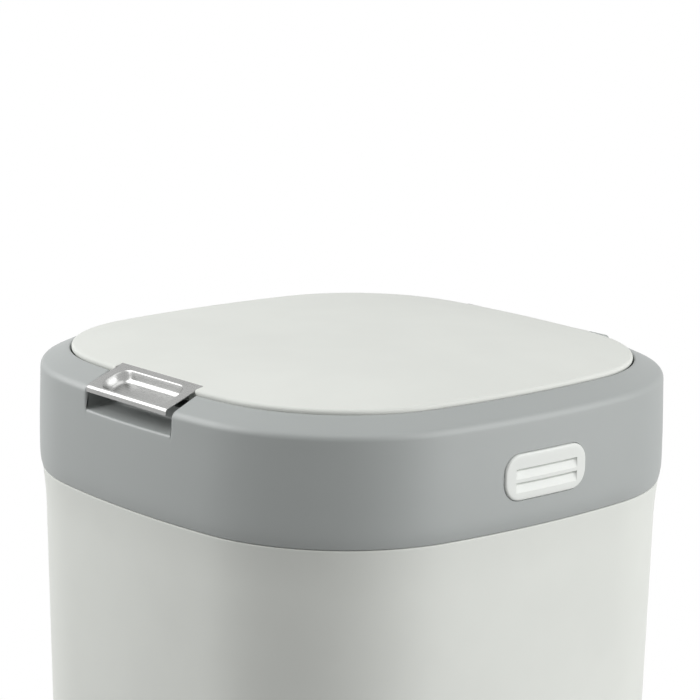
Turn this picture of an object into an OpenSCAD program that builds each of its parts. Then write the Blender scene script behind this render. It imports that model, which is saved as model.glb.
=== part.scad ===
// Nappy bin: a tapered tub, a lift-off collar with a lid, two odour flaps and two squeeze latches.
// Origin at the middle of the footprint on the floor, +Z up, the finger tab at the front on -Y.

/* [Overall] */
// Width and depth across the collar
width = 260; // [240:1:290]
// Radius of the gently bulged sides, seen from above
side_r = 456; // [400:1:600]
// Radius of the rounded corners, seen from above
corner_r = 84; // [80:1:92]
// Height of the tub's rim above the floor
rim_z = 476; // [380:1:600]

/* [Tub] */
// Wall thickness of the tub
tub_wall = 2.5; // [2:0.1:3]
// Draft of the tub's walls in degrees
tub_draft = 1.24; // [0.6:0.02:1.6]
// Radius round the bottom edge
base_r = 7; // [4:0.5:10]
// How far the tub's wall stands in from the collar, below the flare
tub_step = 2.9; // [2.2:0.1:3.4]
// Height of the flare under the rim
flare_h = 24; // [16:1:36]
// Height of the spigot that the collar sits over
spigot_h = 8; // [6.5:0.5:8.5]
// Thickness of each rubber foot below the tub
foot_h = 2; // [1:0.25:4]
// Radius of each rubber foot
foot_r = 9; // [6:0.5:12]
// Distance of each foot from the middle, along X and along Y
foot_pos = 78; // [60:1:82]

/* [Collar] */
// Wall thickness of the collar
collar_wall = 2.5; // [2:0.1:2.8]
// Height of the collar from the tub's rim to its inner top edge
collar_h = 54.9; // [54:0.1:60]
// Height where the upright face turns into the shoulder
shoulder_z = 46.5; // [44.5:0.1:47.5]
// Width of the sloping top, from the outside to the lid well
top_w = 14; // [13:0.25:15]
// Depth of the lid well
well_depth = 7.4; // [7:0.1:7.8]
// Width of the ledge inside the well
ledge_w = 10; // [9:0.25:11]
// Gap between the collar and the tub
seat_gap = 0.3; // [0.2:0.05:0.6]
// Width of the finger notch at the front
notch_w = 62.25; // [61:0.25:70]
// Height of the notch floor at the front face
notch_z = 39.2; // [38.5:0.1:40]

/* [Lid] */
// Gap between the lid and the well
lid_gap = 1.25; // [1:0.05:1.6]
// Thickness of the lid
lid_t = 2.2; // [1.8:0.1:2.6]
// Slope of the lid at its rim in degrees
lid_slope = 11; // [6:0.5:12]
// Radius of the hinge barrels
barrel_r = 4.2; // [3.8:0.1:4.3]
// Radius of the hinge pin
pin_r = 1.5; // [1.25:0.05:1.8]
// Radial running clearance round a pin
run_gap = 0.05; // [0.02:0.01:0.09]
// Half the length of the hinge
hinge_half = 48; // [44:1:54]
// Radius of the deodoriser cup
cup_r = 33; // [26:0.5:38]

/* [Finger tab] */
// Width of the steel tab
tab_w = 58.5; // [50:0.5:59]
// Thickness of its sheet
tab_t = 0.8; // [0.6:0.05:1]
// Length of the sloping plate
tab_l = 18.4; // [18:0.1:19]
// Length of the dish along the slope
dish_l = 14.4; // [11:0.1:15]
// Width of the dish
dish_w = 46; // [30:0.5:50]
// Depth of the dish
dish_d = 4.5; // [3:0.1:5]

/* [Squeeze buttons] */
// Width of each button
button_w = 48.5; // [44:0.5:52]
// Height of each button
button_h = 20.6; // [20:0.2:22]
// Height of the middle of each button above the rim
button_z = 23.35; // [23:0.05:24.5]
// Corner radius of each button
button_r = 8.5; // [5:0.25:10]
// How far each button stands proud of the collar
button_proud = 0.9; // [0.4:0.1:1.2]
// Gap round each button
button_gap = 0.35; // [0.3:0.05:0.6]
// Travel of each button
button_travel = 3; // [2.4:0.1:3]

/* [Odour flaps] */
// Half the width of the throat
throat_x = 66; // [58:0.5:68]
// Half the depth of the throat
throat_y = 62; // [54:0.5:64]
// Thickness of each flap
flap_t = 2.3; // [1.8:0.1:2.5]

/* [Hidden] */
$fn = 48;

// Plan outline: four bulged sides joined by four tangent corner arcs, given as an inset u from the collar.
side_steps = 6;
corner_steps = 10;
half_w = width/2;
side_c = half_w - side_r;
centre_d = side_r - corner_r;
corner_c = (side_c + sqrt(2*centre_d*centre_d - side_c*side_c))/2;
side_a = atan2(corner_c, corner_c - side_c);

function arc(cx, cy, r, from, to, steps) =
  [for (i = [0:steps - 1]) let (t = from + (to - from)*i/steps) [cx + r*cos(t), cy + r*sin(t)]];
function turned(p, a) = [p[0]*cos(a) - p[1]*sin(a), p[0]*sin(a) + p[1]*cos(a)];
function quarter(u) = concat(
  arc(side_c, 0, side_r - u, -side_a, side_a, side_steps),
  arc(corner_c, corner_c, corner_r - u, side_a, 90 - side_a, corner_steps));
function outline(u) = [for (q = [0:3]) for (p = quarter(u)) turned(p, 90*q)];
// Distance from the middle to a side that is inset by u, at a distance s along it
function side_at(u, s) = side_c + sqrt(pow(side_r - u, 2) - s*s);
// A point on the corner arc that is inset by u, at an angle from the X axis
function corner_point(u, a) = [corner_c + (corner_r - u)*cos(a), corner_c + (corner_r - u)*sin(a)];

// A closed loop of [inset, height] swept all the way round the outline
module ring(loop) {
  n = 4*(side_steps + corner_steps);
  m = len(loop);
  polyhedron(
    points = [for (p = loop) for (q = outline(p[0])) [q[0], q[1], p[1]]],
    faces = [for (i = [0:m - 1]) for (j = [0:n - 1])
      let (i2 = (i + 1) % m, j2 = (j + 1) % n) [i*n + j, i2*n + j, i2*n + j2, i*n + j2]]);
}

// The same loop swept along one side only, closed by a flat end at each corner
module bar(loop) {
  m = len(loop);
  polyhedron(
    points = [for (p = loop) for (i = [0:side_steps])
      let (t = -side_a + 2*side_a*i/side_steps)
      [side_c + (side_r - p[0])*cos(t), (side_r - p[0])*sin(t), p[1]]],
    faces = concat(
      [[for (i = [m - 1:-1:0]) i*(side_steps + 1)]],
      [[for (i = [0:m - 1]) i*(side_steps + 1) + side_steps]],
      [for (i = [0:m - 1]) for (j = [0:side_steps - 1])
        let (a = i*(side_steps + 1) + j, b = ((i + 1) % m)*(side_steps + 1) + j) [a, b, b + 1, a + 1]]));
}

// Sections of equal point counts, each a list of [x, y, z], joined bottom to top into a solid
module loft(sections) {
  n = len(sections[0]);
  m = len(sections);
  polyhedron(
    points = [for (s = sections) each s],
    faces = concat(
      [[for (j = [0:n - 1]) j]],
      [[for (j = [n - 1:-1:0]) (m - 1)*n + j]],
      [for (i = [0:m - 2]) for (j = [0:n - 1])
        let (j2 = (j + 1) % n) [i*n + j, (i + 1)*n + j, (i + 1)*n + j2, i*n + j2]]));
}
function at_height(points, z) = [for (p = points) [p[0], p[1], z]];
module stack(profile) loft([for (p = profile) at_height(outline(p[0]), p[1])]);

function rounded_rect(w, h, r) = [for (q = [0:3]) let (sx = q == 0 || q == 3 ? 1 : -1, sy = q < 2 ? 1 : -1)
  each [for (i = [0:6]) let (t = 90*q + 15*i) [sx*(w/2 - r) + r*cos(t), sy*(h/2 - r) + r*sin(t)]]];

// A helical wire about the Z axis, from z = 0 up, with a straight leg at each end where a leg has a length
coil_steps = 14;
wire_sides = 6;
function wire_section(r, wire, t, z, shift) = [for (j = [0:wire_sides - 1]) let (s = 360*j/wire_sides)
  [(r + wire*cos(s))*cos(t), (r + wire*cos(s))*sin(t), z + wire*sin(s)] + shift];
module coil(r, wire, rise, turns, leg_start = [], leg_end = []) {
  n = round(coil_steps*turns);
  loft(concat(
    [for (leg = leg_start) wire_section(r, wire, 0, 0, leg)],
    [for (i = [0:n]) wire_section(r, wire, 360*i/coil_steps, rise*i/n, [0, 0, 0])],
    [for (leg = leg_end) wire_section(r, wire, 360*n/coil_steps, rise, leg)]));
}

module along_x() rotate([90, 0, 90]) children();
module pin_along_x(r, x0, x1, y, z) translate([x0, y, z]) rotate([0, 90, 0]) cylinder(r = r, h = x1 - x0);
module block(x0, x1, y0, y1, z0, z1) translate([x0, y0, z0]) cube([x1 - x0, y1 - y0, z1 - z0]);
module slab(x0, x1, y0, y1, z0, h) block(x0, x1, y0, y1, z0, z0 + h);
module mirror_x() { children(); mirror([1, 0, 0]) children(); }
module round_rod(r, x, y, z0, z1) translate([x, y, z0]) cylinder(r = r, h = z1 - z0);

// Tub
flare_z = rim_z - flare_h;
base_z = foot_h;
shoulder_top = rim_z - seat_gap;
rim_inset = 1.2;
spigot_u = 5.2;
spigot_in = spigot_u + tub_wall;
spigot_top = rim_z + spigot_h;
rim_band = 5;
band_taper = 12;
function tub_u(z) = tub_step + (flare_z - z)*tan(tub_draft);
flare_steps = 4;
flare = [for (i = [0:flare_steps]) let (s = i/flare_steps)
  [tub_step - (tub_step - rim_inset)*s*s, flare_z + (shoulder_top - flare_z)*s]];
base_u = tub_u(base_z);
in_r = base_r - tub_wall;
base_curve = [for (t = [0:22.5:90]) [base_u + base_r*(1 - sin(t)), base_z + base_r*(1 - cos(t))]];
inner_curve = [for (t = [0:30:90])
  [base_u + tub_wall + in_r*(1 - sin(t)), base_z + tub_wall + in_r*(1 - cos(t))]];
foot_recess = 1;
latch_half = 11;
clip_t = 0.8;
clip_h = 1.8;
clip_z = spigot_top - 2.4;
clip_x = side_at(spigot_u + tub_wall/2, 0);
clip_half = latch_half + 2;
rivet_fit = 0.05;

module tub() color([0.85, 0.86, 0.84]) difference() {
  stack(concat(base_curve, flare, [[spigot_u, shoulder_top], [spigot_u, spigot_top]]));
  stack(concat(inner_curve,
    [[tub_step + tub_wall, rim_z - rim_band - band_taper], [spigot_in, rim_z - rim_band],
     [spigot_in, spigot_top + 1]]));
  for (x = [-foot_pos, foot_pos], y = [-foot_pos, foot_pos])
    round_rod(foot_r + rivet_fit, x, y, base_z - 1, base_z + foot_recess);
  mirror_x() {
    block(side_at(spigot_in + 1, 0), side_at(spigot_u - 1, 0), -latch_half, latch_half,
      rim_z + 1.2, spigot_top + 1);
    block(clip_x - clip_t/2 - rivet_fit, clip_x + clip_t/2 + rivet_fit,
      -clip_half - rivet_fit, clip_half + rivet_fit, clip_z, spigot_top + 1);
  }
}

module feet() color([0.2, 0.2, 0.21])
  for (x = [-foot_pos, foot_pos], y = [-foot_pos, foot_pos])
    round_rod(foot_r, x, y, 0, base_z + foot_recess);

// Ring that clips the bag over the tub's rim
ring_t = 1.5;
ring_fit = 0.3;
ring_in = spigot_in + ring_fit + 2.2;
ring_skirt = 10;
module bag_ring() color([0.93, 0.93, 0.92]) difference() {
  ring([[spigot_u, spigot_top], [spigot_u, spigot_top + ring_t], [ring_in - 0.6, spigot_top + ring_t],
    [ring_in, spigot_top + ring_t - 0.6], [ring_in, rim_z - ring_skirt],
    [spigot_in + ring_fit, rim_z - ring_skirt], [spigot_in + ring_fit, spigot_top]]);
  mirror_x()
    block(side_at(ring_in + 3, 0), side_at(spigot_u - 2, 0), -latch_half - 0.5, latch_half + 0.5,
      rim_z - 1, spigot_top + ring_t + 1);
}

seal_u = collar_wall + ring_fit;
module rim_seal() color([0.25, 0.26, 0.27])
  ring([[seal_u, shoulder_top], [seal_u, shoulder_top + 1.1], [seal_u + 0.5, shoulder_top + 1.6],
    [spigot_u, shoulder_top + 1.6], [spigot_u, shoulder_top]]);

// Spring steel strips that bridge the two latch slots in the spigot
module catch_clips() color("silver") mirror_x()
  block(clip_x - clip_t/2, clip_x + clip_t/2, -clip_half, clip_half, clip_z, clip_z + clip_h);

// Collar
inner_top = rim_z + collar_h;
ledge_z = inner_top - well_depth;
ledge_t = 2.5;
ledge_under = ledge_z - ledge_t;
ledge_in = top_w + ledge_w;
shoulder_r = 4;
well_out = top_w - collar_wall;
pocket_wall = 2.2;
notch_floor = rim_z + notch_z;
pocket_z = notch_floor - pocket_wall;
pocket_u = top_w + 0.6;
// The shoulder arc starts upright and ends on the slope of the top
slope_a = 24;
shoulder_base = rim_z + shoulder_z;
shoulder_u = 0.55;
shoulder_arc = [for (i = [0:4]) let (t = (90 - slope_a)*i/4)
  [shoulder_u + shoulder_r*(1 - cos(t)), shoulder_base + shoulder_r*sin(t)]];
skin_low = [[1.1, rim_z], [0.45, rim_z + 3], [0.08, rim_z + 6], [0, rim_z + 9], [0, rim_z + 22],
  [0.35, pocket_z]];
skin_high = concat(shoulder_arc, [[top_w - 0.6, inner_top - 0.15], [top_w, inner_top - 0.6]]);
under_arc = [for (i = [4:-2:0]) let (t = (90 - slope_a)*i/4, r = shoulder_r - collar_wall)
  [shoulder_u + collar_wall + r*(1 - cos(t)), shoulder_base + r*sin(t)]];
// The collar's inside, from the well wall down to the upright face
inside = concat([[well_out, inner_top - collar_wall - 1.2]], under_arc, [[collar_wall, rim_z + 22]]);
function inside_u(z) = lookup(z, [for (p = inside) [p[1], p[0]]]);
function inside_z(u) = lookup(u, inside);

notch_half = notch_w/2;
lip_r = 1.5;
notch_rise = 1.8;
bay_u = 18;
bay_front = side_at(bay_u, 0);
bay_back = side_at(spigot_u, 0);

screw_r = 1.25;
screw_fit = 0.05;
screw_hole = 1.6;
boss_r = 3.6;
deck_fit = 1;
flange_u = inside_u(ledge_under) + deck_fit;
boss_u = flange_u + 3;
boss_top = inside_z(boss_u) + 0.2;
deck_screw_spots = [for (a = [45, 73]) let (p = corner_point(boss_u, a)) for (sx = [-1, 1], sy = [-1, 1])
  [sx*p[0], sy*p[1]]];
deck_screw_top = boss_top - 0.5;

module button_window(grow, x0, x1) translate([x0, 0, rim_z + button_z]) along_x()
  linear_extrude(x1 - x0)
  polygon(rounded_rect(button_w + 2*grow, button_h + 2*grow, button_r + grow));

module finger_notch() intersection() {
  rotate(-90) bar([[-3, inner_top + 3], [pocket_u, inner_top + 3], [pocket_u, notch_floor + notch_rise],
    [1.9, notch_floor], [0.8, notch_floor - 0.5], [0.4, notch_floor - lip_r],
    [-3, notch_floor - lip_r - 0.6]]);
  block(-notch_half, notch_half, -half_w - 5, 0, pocket_z, inner_top + 5);
}

module collar() color([0.69, 0.71, 0.7]) difference() {
  union() {
    ring(concat(skin_low, skin_high, [[top_w, ledge_z], [ledge_in, ledge_z], [ledge_in, ledge_under],
      [well_out, ledge_under]], inside, [[collar_wall, rim_z]]));
    intersection() {
      rotate(-90) bar(concat([[0.35, pocket_z]], skin_high,
        [[top_w, ledge_z], [pocket_u + pocket_wall, ledge_z], [pocket_u + pocket_wall, pocket_z]]));
      block(-notch_half - pocket_wall, notch_half + pocket_wall, -half_w - 5, 0, pocket_z, inner_top + 5);
    }
    for (p = deck_screw_spots) round_rod(boss_r, p[0], p[1], ledge_under, boss_top);
  }
  finger_notch();
  for (p = deck_screw_spots) round_rod(screw_r + screw_fit, p[0], p[1], ledge_under - 1, deck_screw_top);
  mirror_x() button_window(button_gap, half_w - 12, half_w + 5);
  block(-hinge_half - 0.2, hinge_half + 0.2, bay_front, bay_back, ledge_under, inner_top + 5);
}

// Deck: screwed under the ledge, a funnel with the throat in its middle
deck_t = 2.2;
flange_z = ledge_under - deck_t;
funnel_top = ledge_in + 0.3;
funnel_in = 48;
funnel_drop = 9;
plate_top = ledge_under - funnel_drop;
plate_z = plate_top - deck_t;
plate_u = 52;
throat_wall = 2.2;
throat_lip = 3;
flap_gap = 0.6;
flap_barrel = 3.2;
flap_y = throat_y - flap_barrel - 0.4;
flap_z = plate_z - flap_gap - flap_barrel - 0.4;
throat_bottom = flap_z - flap_barrel - 4;
hinge_screw_x = hinge_half - 5;
hinge_screw_u = 14.4;
hinge_screw_y = side_at(hinge_screw_u, 0);
guide_u = 18;
guide_in = side_at(guide_u, 0);
guide_margin = 6.3;
guide_half = button_w/2 + guide_margin;
guide_screw_u = 12.5;
guide_screw_x = side_at(guide_screw_u, 0);
guide_screw_y = guide_half - boss_r - 1.4;

module deck() color([0.91, 0.91, 0.9]) difference() {
  union() {
    ring([[flange_u, flange_z], [flange_u, ledge_under], [funnel_top, ledge_under],
      [funnel_top + 2.2, ledge_under - 0.6], [funnel_in, plate_top + 0.4], [funnel_in + 1.5, plate_top],
      [plate_u, plate_top], [plate_u, plate_z], [funnel_in + 1, plate_z], [funnel_in - 0.7, plate_z + 0.4],
      [funnel_top + 1.5, flange_z - 0.6], [funnel_top - 0.3, flange_z]]);
    translate([0, 0, plate_z]) linear_extrude(deck_t) polygon(outline(plate_u - 2));
    block(-throat_x - throat_wall, throat_x + throat_wall, -throat_y - throat_wall, throat_y + throat_wall,
      throat_bottom, plate_top);
  }
  block(-throat_x, throat_x, -throat_y, throat_y, throat_bottom - 1, plate_z);
  block(-throat_x + throat_lip, throat_x - throat_lip, -throat_y + throat_lip, throat_y - throat_lip,
    plate_z - 1, plate_top + 1);
  for (s = [-1, 1])
    pin_along_x(pin_r + 0.02, -throat_x - 5, throat_x + 5, s*flap_y, flap_z);
  for (p = deck_screw_spots) round_rod(screw_hole, p[0], p[1], flange_z - 1, ledge_under + 1);
  mirror_x() {
    round_rod(screw_hole, hinge_screw_x, hinge_screw_y, flange_z - 1, ledge_under + 1);
    for (s = [-1, 1])
      round_rod(screw_r + screw_fit, guide_screw_x, s*guide_screw_y, flange_z - 1, ledge_under + 1);
  }
  block(-notch_half - pocket_wall - 0.3, notch_half + pocket_wall + 0.3, -half_w - 5,
    -side_at(pocket_u + pocket_wall + 0.3, notch_half + pocket_wall), flange_z - 1, ledge_under + 1);
}

head_r = 2.8;
head_h = 1.6;
module screw(x, y, z, tip) {
  round_rod(screw_r, x, y, z, tip);
  difference() {
    round_rod(head_r, x, y, z - head_h, z);
    for (a = [0, 90]) translate([x, y, z - head_h]) rotate(a) cube([0.8, 3.2, 1.6], center = true);
  }
}
module deck_screws() color("silver")
  for (p = deck_screw_spots) screw(p[0], p[1], flange_z, deck_screw_top - 0.5);

// Odour flaps
flap_spring_w = 9;
flap_side = throat_x - 1.2;
meet_gap = 0.5;
rib_h = 3.5;
rib_t = 1.8;
rib_x = 30;
module flap(s) color([0.95, 0.95, 0.94]) difference() {
  union() {
    pin_along_x(flap_barrel, -flap_side + flap_spring_w, flap_side, s*flap_y, flap_z);
    block(-flap_side, flap_side, s > 0 ? meet_gap : -flap_y, s > 0 ? flap_y : -meet_gap,
      flap_z + flap_barrel - flap_t, flap_z + flap_barrel);
    for (x = [-rib_x, rib_x])
      block(x - rib_t/2, x + rib_t/2, s > 0 ? 6 : -flap_y + 1, s > 0 ? flap_y - 1 : -6,
        flap_z + flap_barrel - flap_t - rib_h, flap_z + flap_barrel - 0.5);
  }
  pin_along_x(pin_r + run_gap, -throat_x, throat_x, s*flap_y, flap_z);
  block(-flap_side - 1, -flap_side + flap_spring_w - 0.2, s > 0 ? flap_y - 4.5 : -flap_y - 5,
    s > 0 ? flap_y + 5 : -flap_y + 4.5, flap_z - 5, flap_z + 5);
}
module flap_front() flap(-1);
module flap_rear() flap(1);
module flap_pins() color("silver")
  for (s = [-1, 1]) pin_along_x(pin_r, -throat_x - throat_wall, throat_x + throat_wall, s*flap_y, flap_z);

// Torsion spring on the flap's pin: a short leg on the wall and a long one under the flap
spring_wire = 0.45;
flap_coil_r = pin_r + spring_wire + 0.35;
flap_coil_l = 6.5;
wall_leg = 2.4;
flap_leg = 9;
module flap_spring() color("silver")
  translate([-throat_x + 1, -flap_y, flap_z]) rotate([0, 90, 0])
    coil(flap_coil_r, spring_wire, flap_coil_l, 6, [[0, -wall_leg, 0]],
      [[-flap_coil_r - flap_barrel + flap_t + spring_wire + 0.1, flap_leg, 0]]);
module flap_spring_front() flap_spring();
module flap_spring_rear() mirror([0, 1, 0]) flap_spring();

// Hinge
hinge_u = 11;
hinge_y = side_at(hinge_u, 0);
hinge_drop = 3.9;
hinge_z = inner_top - hinge_drop;
knuckle_w = 9.6;
knuckle_mid = 8;
mount_t = hinge_z - barrel_r - 0.4 - ledge_under;
mount_front = bay_front + 0.4;
mount_back = bay_back - 0.3;
module hinge_mount() color([0.66, 0.68, 0.67]) difference() {
  union() {
    slab(-hinge_half, hinge_half, mount_front, mount_back, ledge_under, mount_t);
    for (x = [-hinge_half, -knuckle_mid, hinge_half - knuckle_w]) {
      w = x == -knuckle_mid ? 2*knuckle_mid : knuckle_w;
      pin_along_x(barrel_r, x, x + w, hinge_y, hinge_z);
      block(x, x + w, hinge_y - barrel_r - (x == -knuckle_mid ? 0 : 1.5), hinge_y + barrel_r,
        ledge_under, hinge_z);
    }
  }
  pin_along_x(pin_r + 0.02, -hinge_half - 1, hinge_half + 1, hinge_y, hinge_z);
  mirror_x() round_rod(screw_r + screw_fit, hinge_screw_x, hinge_screw_y, ledge_under - 1, hinge_z - 2);
}
module hinge_pin() color("silver") pin_along_x(pin_r, -hinge_half + 0.5, hinge_half - 0.5, hinge_y, hinge_z);
module hinge_screws() color("silver")
  mirror_x() screw(hinge_screw_x, hinge_screw_y, flange_z, hinge_z - 2.5);

// Lid
lid_u = top_w + lid_gap;
lid_edge = inner_top + 0.8;
dome_u = lid_u + 2.05;
dome_in = 78;
dome_z = lid_edge + 1.6;
dome_rise = (dome_in - dome_u)*tan(lid_slope)/2;
dome_steps = 7;
function dome_at(u) = let (s = (u - dome_u)/(dome_in - dome_u)) dome_z + dome_rise*(1 - pow(1 - s, 2));
dome = [for (i = [0:dome_steps]) let (u = dome_u + (dome_in - dome_u)*i/dome_steps) [u, dome_at(u)]];
skirt_u = lid_u + 1.15;
skirt_z = ledge_z + 2.1;
liner_top = skirt_z + 2.2;
liner_t = 1.8;
liner_z = liner_top - liner_t;
under_u = skirt_u + lid_t;
arm_gap = 0.6;
lid_boss_u = 46.4;
lid_boss_r = 3.5;
boss_spot = corner_point(lid_boss_u, 45)[0];
lid_boss_top = dome_at(lid_boss_u) - lid_t/2;

tab_u = 20.4;
tab_back = side_at(tab_u, 0);
tab_lift = 0.2;
tab_top = dome_at(tab_u) + tab_lift;
tab_a = 21.2;
module in_tab() translate([0, -tab_back, tab_top]) rotate([tab_a, 0, 0]) children();
function tab_point(y, z) = [y*cos(tab_a) - z*sin(tab_a) - tab_back, y*sin(tab_a) + z*cos(tab_a) + tab_top];
tab_bed = tab_t + 0.02;
stud_y = 1.7;
stud_side = 3.4;
stud_x = tab_w/2 - stud_side;
stud_r = 1;
stud_l = 5.4;
stud_end = -tab_t - stud_l;
clip_r = 2.6;
clip_lift = 0.6;
clip_sheet = 0.6;
dish_front = tab_l - 0.8;
dish_mid = -dish_front + dish_l/2;
lid_cut_u = 17;
lid_cut_y = side_at(lid_cut_u, 0);

// Room in the lid for the plate, its front curl, its dish and the clips on its studs
module tab_cut() {
  half = tab_w/2 + 0.2;
  floor_y = (tab_back - lid_cut_y - tab_bed*sin(tab_a))/cos(tab_a);
  translate([-half, 0, 0]) along_x() linear_extrude(2*half)
    polygon([tab_point(0.3, -tab_bed), tab_point(0.3, tab_l), [-half_w, inner_top + tab_l],
      [-half_w, skirt_z - 1], [-lid_cut_y, skirt_z - 1], tab_point(floor_y, -tab_bed)]);
  in_tab() {
    block(-dish_w/2 - tab_t - 0.3, dish_w/2 + tab_t + 0.3, -2*tab_l, dish_mid + dish_l/2 + tab_t + 0.3,
      -dish_d - tab_l, 0);
    mirror_x() round_rod(clip_r + 0.3, stud_x, -stud_y, -tab_l, stud_end + clip_lift + clip_sheet);
  }
}

module lid() color([0.93, 0.94, 0.92]) difference() {
  union() {
    difference() {
      stack(concat([[skirt_u, skirt_z], [skirt_u, lid_edge - 2.9], [lid_u, lid_edge - 1.1], [lid_u, lid_edge],
        [lid_u + 0.5, lid_edge + 0.85], [lid_u + 1.2, lid_edge + 1.35]], dome));
      stack(concat([[under_u, skirt_z - 1], [under_u, dome_z - lid_t - 0.6]],
        [for (p = dome) if (p[0] > under_u + 0.5) [p[0], p[1] - lid_t]]));
    }
    for (x = [-boss_spot, boss_spot], y = [-boss_spot, boss_spot])
      round_rod(lid_boss_r, x, y, liner_top, lid_boss_top);
    mirror_x() {
      block(stud_x - 4, stud_x + stud_side, -lid_cut_y - 1, -lid_cut_y + 5.5, liner_top + 1.2, dome_z - 0.5);
      x0 = knuckle_mid + arm_gap;
      x1 = hinge_half - knuckle_w - arm_gap;
      pin_along_x(barrel_r, x0, x1, hinge_y, hinge_z);
      block(x0, x1, side_at(under_u, 0), hinge_y, hinge_z + 0.6, hinge_z + barrel_r);
    }
  }
  tab_cut();
  pin_along_x(pin_r + run_gap, -hinge_half, hinge_half, hinge_y, hinge_z);
  mirror_x() in_tab() round_rod(stud_r + 0.05, stud_x, -stud_y, stud_end - 2, 1);
  for (x = [-boss_spot, boss_spot], y = [-boss_spot, boss_spot])
    round_rod(screw_r + screw_fit, x, y, liner_top - 1, lid_boss_top - 2.5);
}

cup_wall = 2;
cup_h = 7.8;
cup_bottom = liner_z - cup_h;
lug_z = cup_bottom + 3;
lug_h = 1.5;
lug_out = 1;
lug_half = 4;
module lid_liner() color([0.93, 0.93, 0.92]) difference() {
  union() {
    translate([0, 0, liner_z]) linear_extrude(liner_t) polygon(outline(under_u + 0.3));
    difference() {
      round_rod(cup_r, 0, 0, cup_bottom, liner_z + 0.5);
      round_rod(cup_r - cup_wall, 0, 0, cup_bottom - 1, liner_z);
    }
    intersection() {
      for (a = [0:120:359]) rotate(a) block(cup_r - 1, cup_r + 3, -lug_half, lug_half, lug_z, lug_z + lug_h);
      round_rod(cup_r + lug_out, 0, 0, cup_bottom, liner_z);
    }
  }
  for (x = [-boss_spot, boss_spot], y = [-boss_spot, boss_spot])
    round_rod(screw_hole, x, y, liner_z - 1, liner_top + 1);
  in_tab() block(-tab_w/2, tab_w/2, -tab_l, 5, stud_end - 0.5, 0);
}

module lid_seal() color([0.3, 0.31, 0.32])
  ring([[under_u + 1.8, liner_z], [under_u + 1.8, ledge_z + 0.9], [under_u + 2.6, ledge_z + 0.3],
    [under_u + 4.2, ledge_z + 0.3], [under_u + 5, ledge_z + 0.9], [under_u + 5, liner_z]]);

module lid_screws() color("silver")
  for (x = [-boss_spot, boss_spot], y = [-boss_spot, boss_spot]) screw(x, y, liner_z, lid_boss_top - 3);

module charcoal_block() color([0.16, 0.16, 0.17])
  round_rod(cup_r - cup_wall - 0.5, 0, 0, cup_bottom + 0.1, liner_z);

cap_wall = 2.2;
cap_fit = 0.3;
cap_base = 2;
cap_r = cup_r + cap_fit + cap_wall;
cap_z = cup_bottom - 0.2 - cap_base;
cap_twist = 30;
vents = 2*floor((cup_r - 13)/8) + 2;
module deodoriser_cap() color([0.7, 0.72, 0.71]) difference() {
  union() {
    round_rod(cap_r, 0, 0, cap_z, liner_z - 0.4);
    for (a = [0:20:359]) rotate(a) round_rod(1, cap_r, 0, cap_z + 1, liner_z - 1);
  }
  round_rod(cup_r + cap_fit, 0, 0, cap_z + cap_base, liner_z);
  round_rod(cup_r + lug_out + cap_fit, 0, 0, lug_z - 0.3, lug_z + lug_h + 0.3);
  rotate(-cap_twist) for (a = [0:120:359]) rotate(a)
    block(cup_r - 1, cup_r + lug_out + cap_fit + 0.2, -lug_half - 0.6, lug_half + 0.6, lug_z, liner_z);
  for (i = [0:vents - 1]) let (y = 8*i - 4*(vents - 1), half = sqrt(pow(cup_r - 8, 2) - y*y))
    block(-half, half, y - 1.5, y + 1.5, cap_z - 1, cap_z + cap_base + 1);
}

// Finger tab, in a frame on its back edge: -Y down the slope, +Z out of the plate
curl_r = 3.6;
curl_a = 62;
lip_l = 1.3;
function curl(r) = [for (i = [0:5]) let (t = curl_a*i/5) [-tab_l - r*sin(t), -curl_r + r*cos(t)]];
lip_dir = [-cos(curl_a), -sin(curl_a)];
function dish(w, l, z) = [for (p = rounded_rect(w, l, min(5, l/2 - 0.5))) [p[0], p[1] + dish_mid, z]];
dish_taper = 2.2;
module lift_tab() color([0.8, 0.8, 0.8]) in_tab() {
  outer = curl(curl_r);
  inner = curl(curl_r - tab_t);
  difference() {
    union() {
      translate([-tab_w/2, 0, 0]) along_x() linear_extrude(tab_w) polygon(concat([[0, 0]], outer,
        [outer[5] + lip_l*lip_dir, inner[5] + lip_l*lip_dir], [for (i = [5:-1:0]) inner[i]], [[0, -tab_t]]));
      loft([dish(dish_w - 2*dish_taper + 2*tab_t, dish_l - dish_taper + 2*tab_t, -dish_d - tab_t),
        dish(dish_w + 2*tab_t - 0.6, dish_l + 2*tab_t - 0.6, -tab_t/2)]);
      mirror_x() round_rod(stud_r, stud_x, -stud_y, stud_end, -tab_t/2);
    }
    loft([dish(dish_w - 2*dish_taper, dish_l - dish_taper, -dish_d),
      dish(dish_w - 0.5, dish_l - 0.5, -0.7), dish(dish_w + 0.4, dish_l + 0.4, 0.5)]);
  }
}
module tab_clips() color("silver") mirror_x() in_tab() difference() {
  round_rod(clip_r, stud_x, -stud_y, stud_end + clip_lift, stud_end + clip_lift + clip_sheet);
  round_rod(stud_r + 0.01, stud_x, -stud_y, -tab_l, 0);
}

// Squeeze buttons
flange_t = 1.6;
flange_u_out = collar_wall + shoulder_u + 0.15;
flange_back = side_at(flange_u_out, 0) - flange_t;
flange_grow = 1.8;
spring_z = rim_z + button_z + 2.5;
spring_r = 4.3;
seat_r = 3.2;
guide_front = guide_in + 2;
arm_t = 2;
arm_half = 9;
arm_z = rim_z + button_z - button_h/2 - flange_grow - 0.65;
hook_out = side_at(spigot_in, 0) - 1;
hook_in = hook_out - arm_t;
nose_z = rim_z + 2;
nose_top = clip_z - 0.6;
nose_out = hook_out + button_travel;
face_x = half_w + button_proud;
groove_w = 36.5;
groove_d = 1.5;
groove_h = 4.6;
groove_tops = [4.1, -2];

module side_cylinder(inset, z0, z1) translate([side_c, 0, z0])
  cylinder(r = side_r - inset, h = z1 - z0, $fn = 900);

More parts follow.
